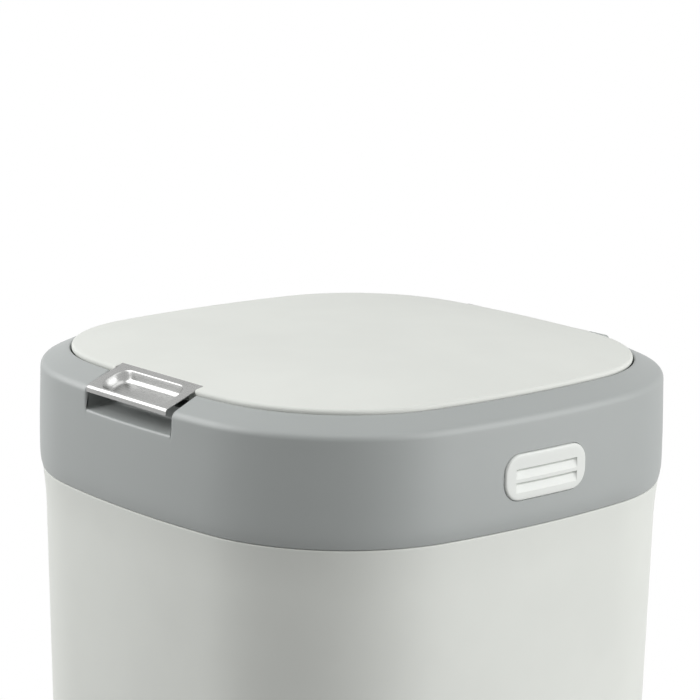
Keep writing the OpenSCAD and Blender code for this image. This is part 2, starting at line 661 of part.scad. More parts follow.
module squeeze_button() color([0.93, 0.94, 0.92]) {
  difference() {
    union() {
      intersection() {
        button_window(0, flange_back + 0.5, half_w + 3);
        side_cylinder(-button_proud, rim_z, inner_top);
      }
      intersection() {
        button_window(flange_grow, flange_back, half_w);
        side_cylinder(flange_u_out, rim_z, inner_top);
      }
      translate([flange_back - 2.8, 0, spring_z]) rotate([0, 90, 0]) cylinder(r = seat_r, h = 3);
      block(hook_in, flange_back + 0.5, -arm_half, arm_half, arm_z, arm_z + arm_t);
      block(hook_in, hook_out, -arm_half, arm_half, nose_z, arm_z + 0.5);
      translate([0, arm_half, 0]) rotate([90, 0, 0]) linear_extrude(2*arm_half)
        polygon([[hook_in, nose_z], [hook_out, nose_z], [nose_out, nose_z + 1.4], [nose_out, nose_top],
          [hook_in, nose_top]]);
    }
    for (top = groove_tops) translate([0, groove_w/2, rim_z + button_z + top]) rotate([90, 0, 0])
      linear_extrude(groove_w) polygon([[face_x + 0.5, 0], [face_x - groove_d, 0],
        [face_x - 0.1, -groove_h], [face_x + 0.5, -groove_h]]);
  }
}
module button_right() squeeze_button();
module button_left() mirror([1, 0, 0]) squeeze_button();

module button_spring() color("silver")
  translate([guide_front + spring_wire + 0.03, 0, spring_z]) rotate([0, 90, 0])
    coil(spring_r, spring_wire, flange_back - guide_front - 2*spring_wire - 0.06, 4);
module button_spring_right() button_spring();
module button_spring_left() mirror([1, 0, 0]) button_spring();

cheek = 2;
module button_guide() color([0.91, 0.91, 0.9]) difference() {
  union() {
    block(guide_in, guide_front, -guide_half, guide_half, arm_z + arm_t + 1, flange_z);
    intersection() {
      union() {
        for (s = [-1, 1]) translate([0, s*(guide_half - cheek/2), 0])
          block(guide_in, half_w, -cheek/2, cheek/2, arm_z + arm_t + 1, flange_z);
        block(guide_in, half_w, -guide_half, guide_half, flange_z - 2, flange_z);
      }
      side_cylinder(inside_u(flange_z) + 0.4, rim_z, flange_z);
    }
    translate([guide_front - 0.5, 0, spring_z]) rotate([0, 90, 0]) cylinder(r = seat_r, h = 1.9);
  }
  for (s = [-1, 1]) round_rod(screw_hole, guide_screw_x, s*guide_screw_y, flange_z - 5, flange_z + 1);
}
module button_guide_right() button_guide();
module button_guide_left() mirror([1, 0, 0]) button_guide();
module guide_screws() color("silver")
  mirror_x() for (s = [-1, 1]) screw(guide_screw_x, s*guide_screw_y, flange_z - 2, flange_z + 2);

tub();
feet();
bag_ring();
rim_seal();
catch_clips();
collar();
deck();
deck_screws();
flap_pins();
flap_spring_front();
flap_spring_rear();
hinge_mount();
hinge_pin();
hinge_screws();
button_guide_right();
button_guide_left();
guide_screws();
button_spring_right();
button_spring_left();
button_right();
button_left();
flap_front();
flap_rear();
lid();
lid_liner();
lid_seal();
lid_screws();
lift_tab();
tab_clips();
charcoal_block();
deodoriser_cap();
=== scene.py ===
import math
from contextlib import contextmanager

import bmesh
import bpy
from mathutils import Matrix, Vector
from mathutils.bvhtree import BVHTree
from mathutils.interpolate import poly_3d_calc


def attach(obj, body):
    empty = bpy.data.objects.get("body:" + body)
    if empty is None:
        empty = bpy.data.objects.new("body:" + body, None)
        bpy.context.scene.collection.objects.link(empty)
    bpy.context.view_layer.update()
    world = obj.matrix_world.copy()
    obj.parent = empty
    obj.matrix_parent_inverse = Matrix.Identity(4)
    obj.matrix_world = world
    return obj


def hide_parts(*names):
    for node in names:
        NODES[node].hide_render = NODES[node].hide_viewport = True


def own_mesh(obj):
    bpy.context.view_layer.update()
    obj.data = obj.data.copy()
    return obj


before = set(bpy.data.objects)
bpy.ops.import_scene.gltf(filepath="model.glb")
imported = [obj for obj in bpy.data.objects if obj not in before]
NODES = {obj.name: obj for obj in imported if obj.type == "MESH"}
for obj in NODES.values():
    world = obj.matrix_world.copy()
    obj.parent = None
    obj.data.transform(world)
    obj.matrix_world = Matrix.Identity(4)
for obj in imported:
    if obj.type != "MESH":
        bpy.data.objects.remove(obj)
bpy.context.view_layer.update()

MM = 0.001
QUADRANTS = [(sx, sy) for sx in (-1, 1) for sy in (-1, 1)]

# ------------------------------------------------------------------ plan outline, in mm
# A square with bulged sides and round corners. u is an inset from it, and a column is one place round it:
# "s" on a side and "c" on a corner, with a quadrant and an angle, or "x" on the front side, with its x.
HALF, SIDE_R, CORNER_R = 130.0, 456.0, 84.0
SIDE_C = HALF - SIDE_R
GAP_D = SIDE_R - CORNER_R
CORNER_C = (SIDE_C + math.sqrt(2*GAP_D*GAP_D - SIDE_C*SIDE_C))/2
SIDE_A = math.atan2(CORNER_C, CORNER_C - SIDE_C)


def side_at(u, s):
    """How far out a side lies at a distance s from its middle."""
    return SIDE_C + math.sqrt((SIDE_R - u)**2 - s*s)


def corner_point(u, a):
    """The point of the first corner at an angle."""
    return CORNER_C + (CORNER_R - u)*math.cos(a), CORNER_C + (CORNER_R - u)*math.sin(a)


TURN = [(1, 0), (0, 1), (-1, 0), (0, -1)]


def at(col, u):
    """The point of a column at an inset u from the outline."""
    kind, q, v = col
    if kind == "x":
        return v, -side_at(u, v)
    if kind == "s":
        x, y = SIDE_C + (SIDE_R - u)*math.cos(v), (SIDE_R - u)*math.sin(v)
    else:
        x, y = corner_point(u, v)
    c, s = TURN[q]
    return x*c - y*s, x*s + y*c


def columns(side_n, corner_n):
    """Columns all round, anticlockwise from the +X side."""
    out = []
    for q in range(4):
        out += [("s", q, -SIDE_A + 2*SIDE_A*i/side_n) for i in range(side_n)]
        out += [("c", q, SIDE_A + (math.pi/2 - 2*SIDE_A)*i/corner_n) for i in range(corner_n)]
    return out


STRAIGHT = 0.02


def fillet(pts, n, closed=True):
    """Points (a, b, radius) joined by straight runs, each corner with a radius turned into an arc."""
    out = []
    m = len(pts)
    for i, p in enumerate(pts):
        r = p[2] if len(p) > 2 else 0
        if r <= 0 or (not closed and i in (0, m - 1)):
            out.append((p[0], p[1]))
            continue
        v = Vector(p[:2])
        a = (Vector(pts[i - 1][:2]) - v)
        b = (Vector(pts[(i + 1) % m][:2]) - v)
        ua, ub = a.normalized(), b.normalized()
        ang = ua.angle(ub)
        if ang > math.pi - STRAIGHT:
            out.append((p[0], p[1]))
            continue
        d = min(r/math.tan(ang/2), 0.49*a.length, 0.49*b.length)
        r = d*math.tan(ang/2)
        c = v + (ua + ub).normalized()*(r/math.sin(ang/2))
        s, e = v + ua*d - c, v + ub*d - c
        turn = s.angle_signed(e)
        for k in range(n + 1):
            t = -turn*k/n
            out.append((c.x + s.x*math.cos(t) - s.y*math.sin(t), c.y + s.x*math.sin(t) + s.y*math.cos(t)))
    return out


# ------------------------------------------------------------------ mesh helpers
def obj_from(name, bm, smooth=True):
    """A new object that takes over a bmesh."""
    me = bpy.data.meshes.new(name)
    bm.to_mesh(me)
    bm.free()
    ob = bpy.data.objects.new(name, me)
    bpy.context.scene.collection.objects.link(ob)
    if smooth:
        shade(ob)
    return ob


def shade(ob, angle=32):
    """Smooth shading with edges sharper than an angle in degrees kept sharp."""
    me = ob.data
    me.polygons.foreach_set("use_smooth", [True]*len(me.polygons))
    me.set_sharp_from_angle(angle=math.radians(angle))
    me.update()


WELD = 1e-7


def tidy(bm):
    """Welds points that coincide and turns all faces outward."""
    bmesh.ops.remove_doubles(bm, verts=bm.verts, dist=WELD)
    bmesh.ops.dissolve_degenerate(bm, edges=bm.edges, dist=WELD)
    bmesh.ops.recalc_face_normals(bm, faces=bm.faces)


@contextmanager
def editing(ob):
    """The object's own mesh as a bmesh, written back at the end."""
    bm = bmesh.new()
    bm.from_mesh(ob.data)
    yield bm
    bm.to_mesh(ob.data)
    bm.free()


def discard(ob):
    """Removes an object with its mesh."""
    old = ob.data
    bpy.data.objects.remove(ob)
    bpy.data.meshes.remove(old)


def grid(bm, rows, close_rows, close_cols):
    """rows is a list of equal lists of points in mm; neighbours are joined by quads."""
    vs = [[bm.verts.new((p[0]*MM, p[1]*MM, p[2]*MM)) for p in r] for r in rows]
    n, m = len(vs), len(vs[0])
    for i in range(n if close_rows else n - 1):
        for j in range(m if close_cols else m - 1):
            a, b = vs[i], vs[(i + 1) % n]
            bm.faces.new((a[j], b[j], b[(j + 1) % m], a[(j + 1) % m]))
    return vs


def solid(bm, rows):
    """Closed rings joined in order, with a flat face over the first and the last."""
    vs = grid(bm, rows, False, True)
    bm.faces.new(vs[0])
    bm.faces.new(vs[-1])


def sweep(bm, loop, cols):
    """A closed loop of (inset, height) swept all round."""
    grid(bm, [[(*at(c, u), z) for u, z in loop] for c in cols], True, True)


def lathe_plan(bm, path, cols):
    """An open path of (inset, height) swept all round, its first and last rings closed flat."""
    turned(bm, [[(*at(c, u), z) for u, z in path] for c in cols], False)


def turned(bm, rows, closed):
    """Rows that follow each other all round; where they are open, both end rings are closed flat."""
    vs = grid(bm, rows, True, closed)
    if not closed:
        bm.faces.new([r[0] for r in vs])
        bm.faces.new([r[-1] for r in vs])


def circle(n):
    return [(math.cos(2*math.pi*i/n), math.sin(2*math.pi*i/n)) for i in range(n)]


def turn_z(bm, path, cx, cy, n, closed=True):
    """A (radius, height) path turned about a vertical line; a closed path makes a ring."""
    turned(bm, [[(cx + r*c, cy + r*s, z) for r, z in path] for c, s in circle(n)], closed)


def turn_x(bm, path, cy, cz, n, closed=True):
    """A (radius, x) path turned about a line along X."""
    turned(bm, [[(x, cy + r*c, cz + r*s) for r, x in path] for c, s in circle(n)], closed)


def prism(bm, poly, lo, hi, axes):
    """A polygon in two axes pushed along the third, from lo to hi."""
    def place(a, b, t):
        return {"xz": (a, t, b), "yz": (t, a, b), "xy": (a, b, t)}[axes]
    solid(bm, [[place(a, b, t) for a, b in poly] for t in (lo, hi)])


LEAST_R = 0.15


def rounded(w, h, r, n, nx, ny):
    """A rounded rectangle as points from the middle of its right side, anticlockwise.

    n is the steps of each corner, nx those along the top and bottom, and ny those up the sides."""
    r = max(r, LEAST_R)
    x, y = w/2 - r, h/2 - r
    arc = [(r*math.cos(math.pi/2*k/n), r*math.sin(math.pi/2*k/n)) for k in range(n + 1)]
    pts = [(w/2, -y + 2*y*k/ny) for k in range(ny//2, ny)]
    pts += [(x + c, y + s) for c, s in arc]
    pts += [(x - 2*x*k/nx, h/2) for k in range(1, nx)]
    pts += [(-x - s, y + c) for c, s in arc]
    pts += [(-w/2, y - 2*y*k/ny) for k in range(1, ny)]
    pts += [(-x - c, -y - s) for c, s in arc]
    pts += [(-x + 2*x*k/nx, -h/2) for k in range(1, nx)]
    pts += [(x + s, -y - c) for c, s in arc]
    pts += [(w/2, -y + 2*y*k/ny) for k in range(1, ny//2)]
    return pts


def close_pairs(bm, ring):
    """Fills a ring that is the same above and below its first point's level."""
    n = len(ring)
    for k in range(n//2):
        a, b, c, d = ring[k], ring[k + 1], ring[(n - k - 1) % n], ring[(n - k) % n]
        f = [v for i, v in enumerate((a, b, c, d)) if v not in (a, b, c, d)[:i]]
        if len(f) > 2:
            bm.faces.new(f)


def applied(ob):
    """Keeps the modifiers' result as the mesh itself."""
    dg = bpy.context.evaluated_depsgraph_get()
    me = bpy.data.meshes.new_from_object(ob.evaluated_get(dg), depsgraph=dg)
    old = ob.data
    ob.modifiers.clear()
    ob.data = me
    me.name = ob.name
    bpy.data.meshes.remove(old)


def cut(ob, *cutters):
    """Takes other meshes out of this one; they are then removed."""
    for c in cutters:
        mod = ob.modifiers.new("cut", "BOOLEAN")
        mod.operation = "DIFFERENCE"
        mod.solver = "EXACT"
        mod.object = c
        applied(ob)
        discard(c)
    return ob


def bevel(ob, width, angle):
    """Rounds every edge sharper than an angle in degrees."""
    mod = ob.modifiers.new("bevel", "BEVEL")
    mod.width = width*MM
    mod.segments = 2
    mod.limit_method = "ANGLE"
    mod.angle_limit = math.radians(angle)
    mod.use_clamp_overlap = True
    applied(ob)
    shade(ob, 35)


def tool(build):
    """A cutter, from a function that fills a bmesh."""
    bm = bmesh.new()
    build(bm)
    tidy(bm)
    return obj_from("tool", bm, smooth=False)


def uncut_surface(ob):
    """The uncut surface, kept so that a cut piece can take its shading back from it."""
    me = ob.data
    me.update()
    verts = [v.co.copy() for v in me.vertices]
    polys = [tuple(p.vertices) for p in me.polygons]
    normals = [Vector(c.vector) for c in me.corner_normals]
    starts = [p.loop_start for p in me.polygons]
    return BVHTree.FromPolygons(verts, polys), verts, polys, starts, normals


def take_shading(ob, source, cos_min=0.96):
    """Corner normals of a cut piece follow the uncut surface wherever a face still lies on it."""
    near, aligned, inward = 0.2*MM, 0.8, 0.02
    tree, verts, polys, starts, normals = source
    shade(ob, 32)
    me = ob.data
    out = [Vector(c.vector) for c in me.corner_normals]
    for p in me.polygons:
        centre = p.center
        hit = tree.find_nearest(centre)
        if hit[0] is None or hit[3] > near or hit[1].dot(p.normal) < cos_min:
            continue
        for li in p.loop_indices:
            co = me.vertices[me.loops[li].vertex_index].co
            h = tree.find_nearest(co + (centre - co)*inward)
            if h[2] is None or h[3] > near:
                continue
            poly = polys[h[2]]
            if len(poly) > 4:
                continue
            w = poly_3d_calc([verts[v] for v in poly], h[0])
            n = Vector((0, 0, 0))
            for k, wk in enumerate(w):
                n += normals[starts[h[2]] + k]*wk
            if n.length > 0.1 and n.normalized().dot(p.normal) > aligned:
                out[li] = n.normalized()
    me.normals_split_custom_set([tuple(n) for n in out])
    me.update()


# ------------------------------------------------------------------ materials
def new_material(name):
    """A material, its node tree and its shader."""
    mat = bpy.data.materials.new(name)
    mat.use_nodes = True
    nt = mat.node_tree
    return mat, nt, nt.nodes["Principled BSDF"]


def noise(nt, scale, detail, rough, stretch=None):
    """Noise over the object's own coordinates."""
    tc = nt.nodes.new("ShaderNodeTexCoord")
    mp = nt.nodes.new("ShaderNodeMapping")
    nt.links.new(tc.outputs["Object"], mp.inputs["Vector"])
    if stretch:
        mp.inputs["Scale"].default_value = stretch
    n = nt.nodes.new("ShaderNodeTexNoise")
    n.inputs["Scale"].default_value = scale
    n.inputs["Detail"].default_value = detail
    n.inputs["Roughness"].default_value = rough
    nt.links.new(mp.outputs["Vector"], n.inputs["Vector"])
    return n


def ramp(nt, source, stops):
    """A colour ramp of (position, colour) stops."""
    r = nt.nodes.new("ShaderNodeValToRGB")
    r.color_ramp.interpolation = "EASE"
    e = r.color_ramp.elements
    e[0].position, e[0].color = stops[0][0], (*stops[0][1], 1)
    e[1].position, e[1].color = stops[-1][0], (*stops[-1][1], 1)
    for pos, col in stops[1:-1]:
        x = e.new(pos)
        x.color = (*col, 1)
    nt.links.new(source, r.inputs["Fac"])
    return r


def remap(nt, source, lo, hi):
    """The middle of a noise's range, spread from lo to hi."""
    m = nt.nodes.new("ShaderNodeMapRange")
    m.inputs["From Min"].default_value = 0.3
    m.inputs["From Max"].default_value = 0.7
    m.inputs["To Min"].default_value = lo
    m.inputs["To Max"].default_value = hi
    nt.links.new(source, m.inputs["Value"])
    return m


def bumps(nt, bsdf, layers):
    """Bump layers of (height socket, strength, distance in mm), one over the other."""
    last = None
    for height, strength, dist in layers:
        b = nt.nodes.new("ShaderNodeBump")
        b.inputs["Strength"].default_value = strength
        b.inputs["Distance"].default_value = dist*MM
        nt.links.new(height, b.inputs["Height"])
        if last:
            nt.links.new(last.outputs["Normal"], b.inputs["Normal"])
        last = b
    nt.links.new(last.outputs["Normal"], bsdf.inputs["Normal"])


def plastic(name, colour, rough, grain=0.35, spec=0.5):
    """Moulded plastic: an even colour with faint clouding, fine spark-eroded grain and slow flow waviness."""
    vary, grain_mm = 0.025, 0.7
    mat, nt, bsdf = new_material(name)
    bsdf.inputs["Specular IOR Level"].default_value = spec
    cloud = noise(nt, 14.0, 3.0, 0.55)
    lo = tuple(c*(1 - vary) for c in colour)
    hi = tuple(min(c*(1 + vary*0.6), 1) for c in colour)
    tint = ramp(nt, cloud.outputs["Fac"], [(0.3, lo), (0.7, hi)])
    nt.links.new(tint.outputs["Color"], bsdf.inputs["Base Color"])
    fine = noise(nt, 1000.0/grain_mm, 2.0, 0.6)
    wave = noise(nt, 22.0, 1.0, 0.4)
    r = remap(nt, cloud.outputs["Fac"], rough - 0.03, rough + 0.04)
    nt.links.new(r.outputs["Result"], bsdf.inputs["Roughness"])
    bumps(nt, bsdf, [(wave.outputs["Fac"], 0.25, 0.25), (fine.outputs["Fac"], grain, 0.03)])
    return mat


def metal(name, colour, rough, lines=None):
    """Steel: brushed along one axis where lines names it, otherwise drawn wire or zinc plate."""
    line_mm, depth = 0.12, 0.01
    mat, nt, bsdf = new_material(name)
    bsdf.inputs["Metallic"].default_value = 1.0
    cloud = noise(nt, 60.0, 2.0, 0.5)
    tint = ramp(nt, cloud.outputs["Fac"], [(0.3, tuple(c*0.94 for c in colour)), (0.7, colour)])
    nt.links.new(tint.outputs["Color"], bsdf.inputs["Base Color"])
    s = [1.0, 1.0, 1.0]
    if lines is not None:
        s[lines] = 0.02
    fine = noise(nt, 1000.0/line_mm, 2.0, 0.6, stretch=s)
    r = remap(nt, fine.outputs["Fac"], rough - 0.05, rough + 0.07)
    nt.links.new(r.outputs["Result"], bsdf.inputs["Roughness"])
    bumps(nt, bsdf, [(fine.outputs["Fac"], 0.4, depth)])
    return mat


def rubber(name, colour, rough):
    """Dull moulded rubber with a fine grain."""
    mat, nt, bsdf = new_material(name)
    bsdf.inputs["Specular IOR Level"].default_value = 0.35
    cloud = noise(nt, 90.0, 3.0, 0.6)
    lo, hi = tuple(c*0.8 for c in colour), tuple(c*1.15 for c in colour)
    tint = ramp(nt, cloud.outputs["Fac"], [(0.3, lo), (0.7, hi)])
    nt.links.new(tint.outputs["Color"], bsdf.inputs["Base Color"])
    r = remap(nt, cloud.outputs["Fac"], rough - 0.06, rough + 0.06)
    nt.links.new(r.outputs["Result"], bsdf.inputs["Roughness"])
    fine = noise(nt, 1800.0, 2.0, 0.6)
    bumps(nt, bsdf, [(fine.outputs["Fac"], 0.5, 0.05)])
    return mat


def charcoal(name):
    """Pressed charcoal grains."""
    mat, nt, bsdf = new_material(name)
    bsdf.inputs["Specular IOR Level"].default_value = 0.3
    v = nt.nodes.new("ShaderNodeTexVoronoi")
    v.inputs["Scale"].default_value = 650.0
    tc = nt.nodes.new("ShaderNodeTexCoord")
    nt.links.new(tc.outputs["Object"], v.inputs["Vector"])
    tint = ramp(nt, v.outputs["Distance"], [(0.0, (0.035, 0.035, 0.038)), (0.6, (0.012, 0.012, 0.013))])
    nt.links.new(tint.outputs["Color"], bsdf.inputs["Base Color"])
    r = remap(nt, v.outputs["Distance"], 0.75, 0.95)
    nt.links.new(r.outputs["Result"], bsdf.inputs["Roughness"])
    bumps(nt, bsdf, [(v.outputs["Distance"], 0.8, 0.4)])
    return mat


MATS = {
    "tub_plastic": plastic("tub_plastic", (0.780, 0.798, 0.757), 0.5, spec=0.2),
    "collar_plastic": plastic("collar_plastic", (0.366, 0.387, 0.38), 0.46, spec=0.7),
    "lid_plastic": plastic("lid_plastic", (0.775, 0.792, 0.753), 0.6, spec=0.2),
    "button_plastic": plastic("button_plastic", (0.800, 0.822, 0.792), 0.36),
    "inner_plastic": plastic("inner_plastic", (0.760, 0.775, 0.745), 0.46, grain=0.5),
    "mount_plastic": plastic("mount_plastic", (0.400, 0.425, 0.412), 0.45, grain=0.5),
    "tab_steel": metal("tab_steel", (0.37, 0.372, 0.365), 0.26, lines=0),
    "spring_steel": metal("spring_steel", (0.55, 0.55, 0.56), 0.25),
    "screw_steel": metal("screw_steel", (0.62, 0.63, 0.64), 0.32),
    "rubber": rubber("rubber", (0.030, 0.030, 0.032), 0.75),
    "seal_rubber": rubber("seal_rubber", (0.065, 0.068, 0.070), 0.65),
    "charcoal": charcoal("charcoal"),
}


def paint(ob, mat_name):
    """One finish for the whole object."""
    ob.data.materials.clear()
    ob.data.materials.append(MATS[mat_name])


def give(ob, mat_name, body, node):
    """The piece gets its finish, rides on a body and stands for a CAD node."""
    paint(ob, mat_name)
    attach(ob, body)
    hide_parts(node)


COLS, FINE_COLS = columns(20, 18), columns(28, 22)

# ------------------------------------------------------------------ tub
TAN_DRAFT = math.tan(math.radians(1.24))


def tub_u(z):
    """The tub's inset at a height below its flared rim."""
    return 2.9 + (452 - z)*TAN_DRAFT


def latch_slots(bm, half, bottom, top, r, u_in, u_out):
    """Slots through both side walls between two insets, with round lower corners."""
    poly = fillet([(-half, bottom, r), (half, bottom, r), (half, top), (-half, top)], 5)
    for s in (-1, 1):
        solid(bm, [[(s*x, y, z) for y, z in poly] for x in (side_at(u_in, 0), side_at(u_out, 0))])


def make_tub():
    foot, foot_r, wall = 2, 7, 2.5
    bu = tub_u(foot)
    outer = [(bu + foot_r, foot)]
    outer += [(bu + foot_r*(1 - math.sin(t)), foot + foot_r*(1 - math.cos(t))) for t in
              [math.radians(a) for a in range(10, 90, 10)]]
    outer += [(tub_u(z), z) for z in (9.2, 40, 100, 160, 220, 280, 340, 400, 430, 446, 452)]
    outer += [(2.9 - 1.7*(k/8)**2, 452 + 23.7*k/8) for k in range(1, 8)]
    outer += fillet([(1.5, 474), (1.2, 475.7, 0.5), (5.2, 475.7, 0.3), (5.2, 484, 0.4), (7.7, 484, 0.4),
                     (7.7, 471, 3), (5.4, 459, 6), (tub_u(440) + wall, 440)], 4, closed=False)
    inner = [(tub_u(z) + wall, z) for z in (400, 340, 280, 220, 160, 100, 40, 9.6)]
    ib = tub_u(4.5) + wall
    inner += [(ib + 4.5*(1 - math.cos(t)), 4.5 + 4.5*(1 - math.sin(t))) for t in
              [math.radians(a) for a in (15, 30, 45, 60, 75, 90)]]
    bm = bmesh.new()
    lathe_plan(bm, outer + inner, COLS)
    tidy(bm)
    ob = obj_from("tub_shell", bm)
    src = uncut_surface(ob)

    def slots(bm):
        latch_slots(bm, 11, 477.2, 486, 1.2, 8.7, 4.2)

    def clips(bm):
        xc = side_at(6.45, 0)
        for s in (-1, 1):
            for y0, y1 in ((-13.05, -10.5), (10.5, 13.05)):
                x0, x1 = s*(xc - 0.45), s*(xc + 0.45)
                prism(bm, [(x0, y0), (x1, y0), (x1, y1), (x0, y1)], 481.6, 486, "xy")

    cut(ob, tool(slots), tool(clips))
    take_shading(ob, src)
    give(ob, "tub_plastic", "bin_body", "tub")


make_tub()

# ------------------------------------------------------------------ collar
X_IN, X_OUT = 31.125, 33.3
EDGE_R, ROOT_R = 1.5, 0.9
WELL_TOP = 523.5
NOTCH_FOOT = (0.35, 513)
BUTTON_Z, BUTTON_W, BUTTON_H, BUTTON_R = 499.35, 48.5, 20.6, 8.5
SPRING_Z = BUTTON_Z + 2.5
DECK_SCREWS = [corner_point(7, math.radians(a)) for a in (45, 73)]


def button_outline(grow, nx, ny):
    """The button's outline about its own middle, larger all round by grow."""
    return rounded(BUTTON_W + 2*grow, BUTTON_H + 2*grow, BUTTON_R + grow, 10, nx, ny)


def steps_to(p, q, n, last):
    """The first points, up to the one numbered last, of n equal steps from p to q."""
    return [(p[0] + (q[0] - p[0])*k/n, p[1] + (q[1] - p[1])*k/n) for k in range(1, last + 1)]


def offset_mix(a, b, w):
    """Two profiles mixed point by point, 0 for the first and 1 for the second."""
    return [(p[0] + (q[0] - p[0])*k, p[1] + (q[1] - p[1])*k) for p, q, k in zip(a, b, w)]


def skin_profile(d):
    """The collar's outside from the notch's lip level over the shoulder to the ledge, moved in by d."""
    slope = math.radians(24.6)
    pts = [(0.35 + 0.2*k/5 + d, 513 + 9.5*k/5) for k in range(6)]
    r = 4.0 - d
    cx, cz = 4.55, 522.5
    end = math.radians(65.4)
    pts += [(cx - r*math.cos(end*k/10), cz + r*math.sin(end*k/10)) for k in range(1, 11)]
    ex, ez = pts[-1]
    wall = 14.35 - d
    top_z = ez + (wall - ex)*math.tan(slope)
    rr = max(0.7 - d, 0.02)
    arc = fillet([(ex, ez), (wall, top_z, rr), (wall, WELL_TOP)], 6, closed=False)
    pts += steps_to((ex, ez), arc[1], 5, 4) + arc[1:-1]
    return pts + steps_to((wall, pts[-1][1]), (wall, WELL_TOP), 5, 5)


def notch_profile(e):
    """The notch's floor from its lip to its back wall, raised by e."""
    lip = fillet([NOTCH_FOOT, (0.47, 515.05 + e, 1.95), (2.6, 515.3 + e)], 9, closed=False)
    pts = [NOTCH_FOOT] + steps_to(NOTCH_FOOT, lip[1], 3, 2) + lip[1:-1]
    wall = 14.6 - e
    back = fillet([pts[-1], (wall, 517.0 + e, 1.3), (wall, WELL_TOP)], 6, closed=False)
    pts += steps_to(pts[-1], back[1], 8, 7) + back[1:-1]
    return pts + steps_to((wall, pts[-1][1]), (wall, WELL_TOP), 5, 5)


def ends_fixed(n, lead, tail):
    """n weights of 1 that ease in from 0 at both ends."""
    def ease(t):
        return t*t*(3 - 2*t)
    return ([ease(k/lead) for k in range(lead)] + [1.0]*(n - lead - tail)
            + [ease(k/tail) for k in reversed(range(tail))])


SKIN0 = skin_profile(0)
NOTCH0 = notch_profile(0)
assert len(SKIN0) == len(NOTCH0), (len(SKIN0), len(NOTCH0))
# the outside below the notch, then the inside back down: beside the notch (0) and along it (1)
SKIN_LOW = [(1.45, 476.0), (1.22, 476.12), (1.08, 476.4), (0.92, 477.0), (0.68, 478.0), (0.45, 479),
            (0.27, 480.3), (0.14, 481.6), (0.06, 483), (0.01, 485), (0, 488), (0, 492), (0.02, 497),
            (0.07, 501), (0.15, 505), (0.24, 509)]
UNDER0 = [(24, 521.2), (23.6, 521.0), (11.5, 521), (11.5, 527.2)]
UNDER0 += [(4.55 - 1.5*math.cos(t), 522.5 + 1.5*math.sin(t)) for t in
           [math.radians(a) for a in (64, 48, 32, 16, 0)]]
UNDER0 += [(2.84, 513), (2.5, 498), (2.5, 476.0)]
UNDER1 = [(24, 521.2), (23.6, 521.0), (16.8, 521), (16.8, 513.0), (13.5, 513), (10.5, 513), (8, 513),
          (6, 513), (3.3, 513.0), (2.84, 512.7), (2.5, 498), (2.5, 476.0)]
assert len(UNDER0) == len(UNDER1)


def collar_loop(outer, under):
    """The whole cross-section, round the ledge's inner edge."""
    return SKIN_LOW + outer + [(23.6, WELL_TOP), (24, 523.2)] + under


def make_collar():
    n_root, n_edge = 5, 6
    w = ends_fixed(len(SKIN0), 3, 4)
    # from the middle of the notch out to +x: the floor, its root, the rounded edge and the skin beside it
    front = [(x, NOTCH0, UNDER1) for x in (0, 5, 10, 15, 20, 25, 29)]
    for k in range(n_root + 1):
        a = math.pi/2*k/n_root
        x, e = X_IN - ROOT_R + ROOT_R*math.sin(a), ROOT_R*(1 - math.cos(a))
        front.append((x, offset_mix(NOTCH0, notch_profile(e), w), UNDER1))
    for k in range(n_edge + 1):
        a = math.pi/2*k/n_edge
        x, d = X_IN + EDGE_R*(1 - math.cos(a)), EDGE_R*(1 - math.sin(a))
        front.append((x, offset_mix(SKIN0, skin_profile(d), w), UNDER1))
    front += [(X_OUT, SKIN0, UNDER1), (X_OUT, SKIN0, UNDER0)]
    front += [(x, SKIN0, UNDER0) for x in (36, 39, 42)]
    line = [(("x", 3, -x), o, u) for x, o, u in reversed(front) if x > 0]
    line += [(("x", 3, x), o, u) for x, o, u in front]
    # the columns of the plain outline take over at 44.5 mm
    lim = math.asin(44.5/SIDE_R)
    plain = [(c, SKIN0, UNDER0) for c in FINE_COLS
             if c[1] < 3 or c[0] == "c" or abs(c[2]) > lim]
    first = next(i for i, (c, _, _) in enumerate(plain) if c[1] == 3 and (c[0] == "c" or c[2] > 0))
    cols = plain[:first] + line + plain[first:]
    bm = bmesh.new()
    grid(bm, [[(*at(c, u), z) for u, z in collar_loop(o, un)] for c, o, un in cols], True, True)
    tidy(bm)
    ob = obj_from("collar_shell", bm)
    src = uncut_surface(ob)

    def window(s):
        def build(bm):
            rows = []
            for grow, lift, flat in ((0.22, -9, True), (0.22, -0.45, False), (0.27, -0.2, False),
                                     (0.41, -0.03, False), (0.6, 0.07, False), (0.9, 0.8, False)):
                rows.append([(s*((HALF if flat else side_at(0, y)) + lift), y, z + BUTTON_Z)
                             for y, z in button_outline(grow, 16, 4)])
            vs = grid(bm, rows, False, True)
            close_pairs(bm, vs[0])
            close_pairs(bm, vs[-1])
        return build

    def bay(bm):
        poly = fillet([(-48.2, 112, 1), (48.2, 112, 1), (48.2, 124.8, 1), (-48.2, 124.8, 1)], 4)
        prism(bm, poly, 520.5, 540, "xy")

    cut(ob, tool(window(1)), tool(window(-1)), tool(bay))

    with editing(ob) as bm:
        for px, py in DECK_SCREWS:
            for sx, sy in QUADRANTS:
                turn_z(bm, [(1.3, 521.05), (3.6, 521.05), (3.6, 525.2), (1.3, 525.2)], sx*px, sy*py, 24)
    take_shading(ob, src)
    give(ob, "collar_plastic", "collar", "collar")


make_collar()

# ------------------------------------------------------------------ lid
HINGE_Y, HINGE_Z = 119.0, 527.0
DOME_U, DOME_END_U, DOME_Z, DOME_RISE = 17.3, 78, 533.3, 5.895
LID_SCREW = 70.3


def dome_at(u):
    """The height of the lid's top at an inset."""
    s = (u - DOME_U)/(DOME_END_U - DOME_U)
    return DOME_Z + DOME_RISE*(1 - (1 - s)**2)


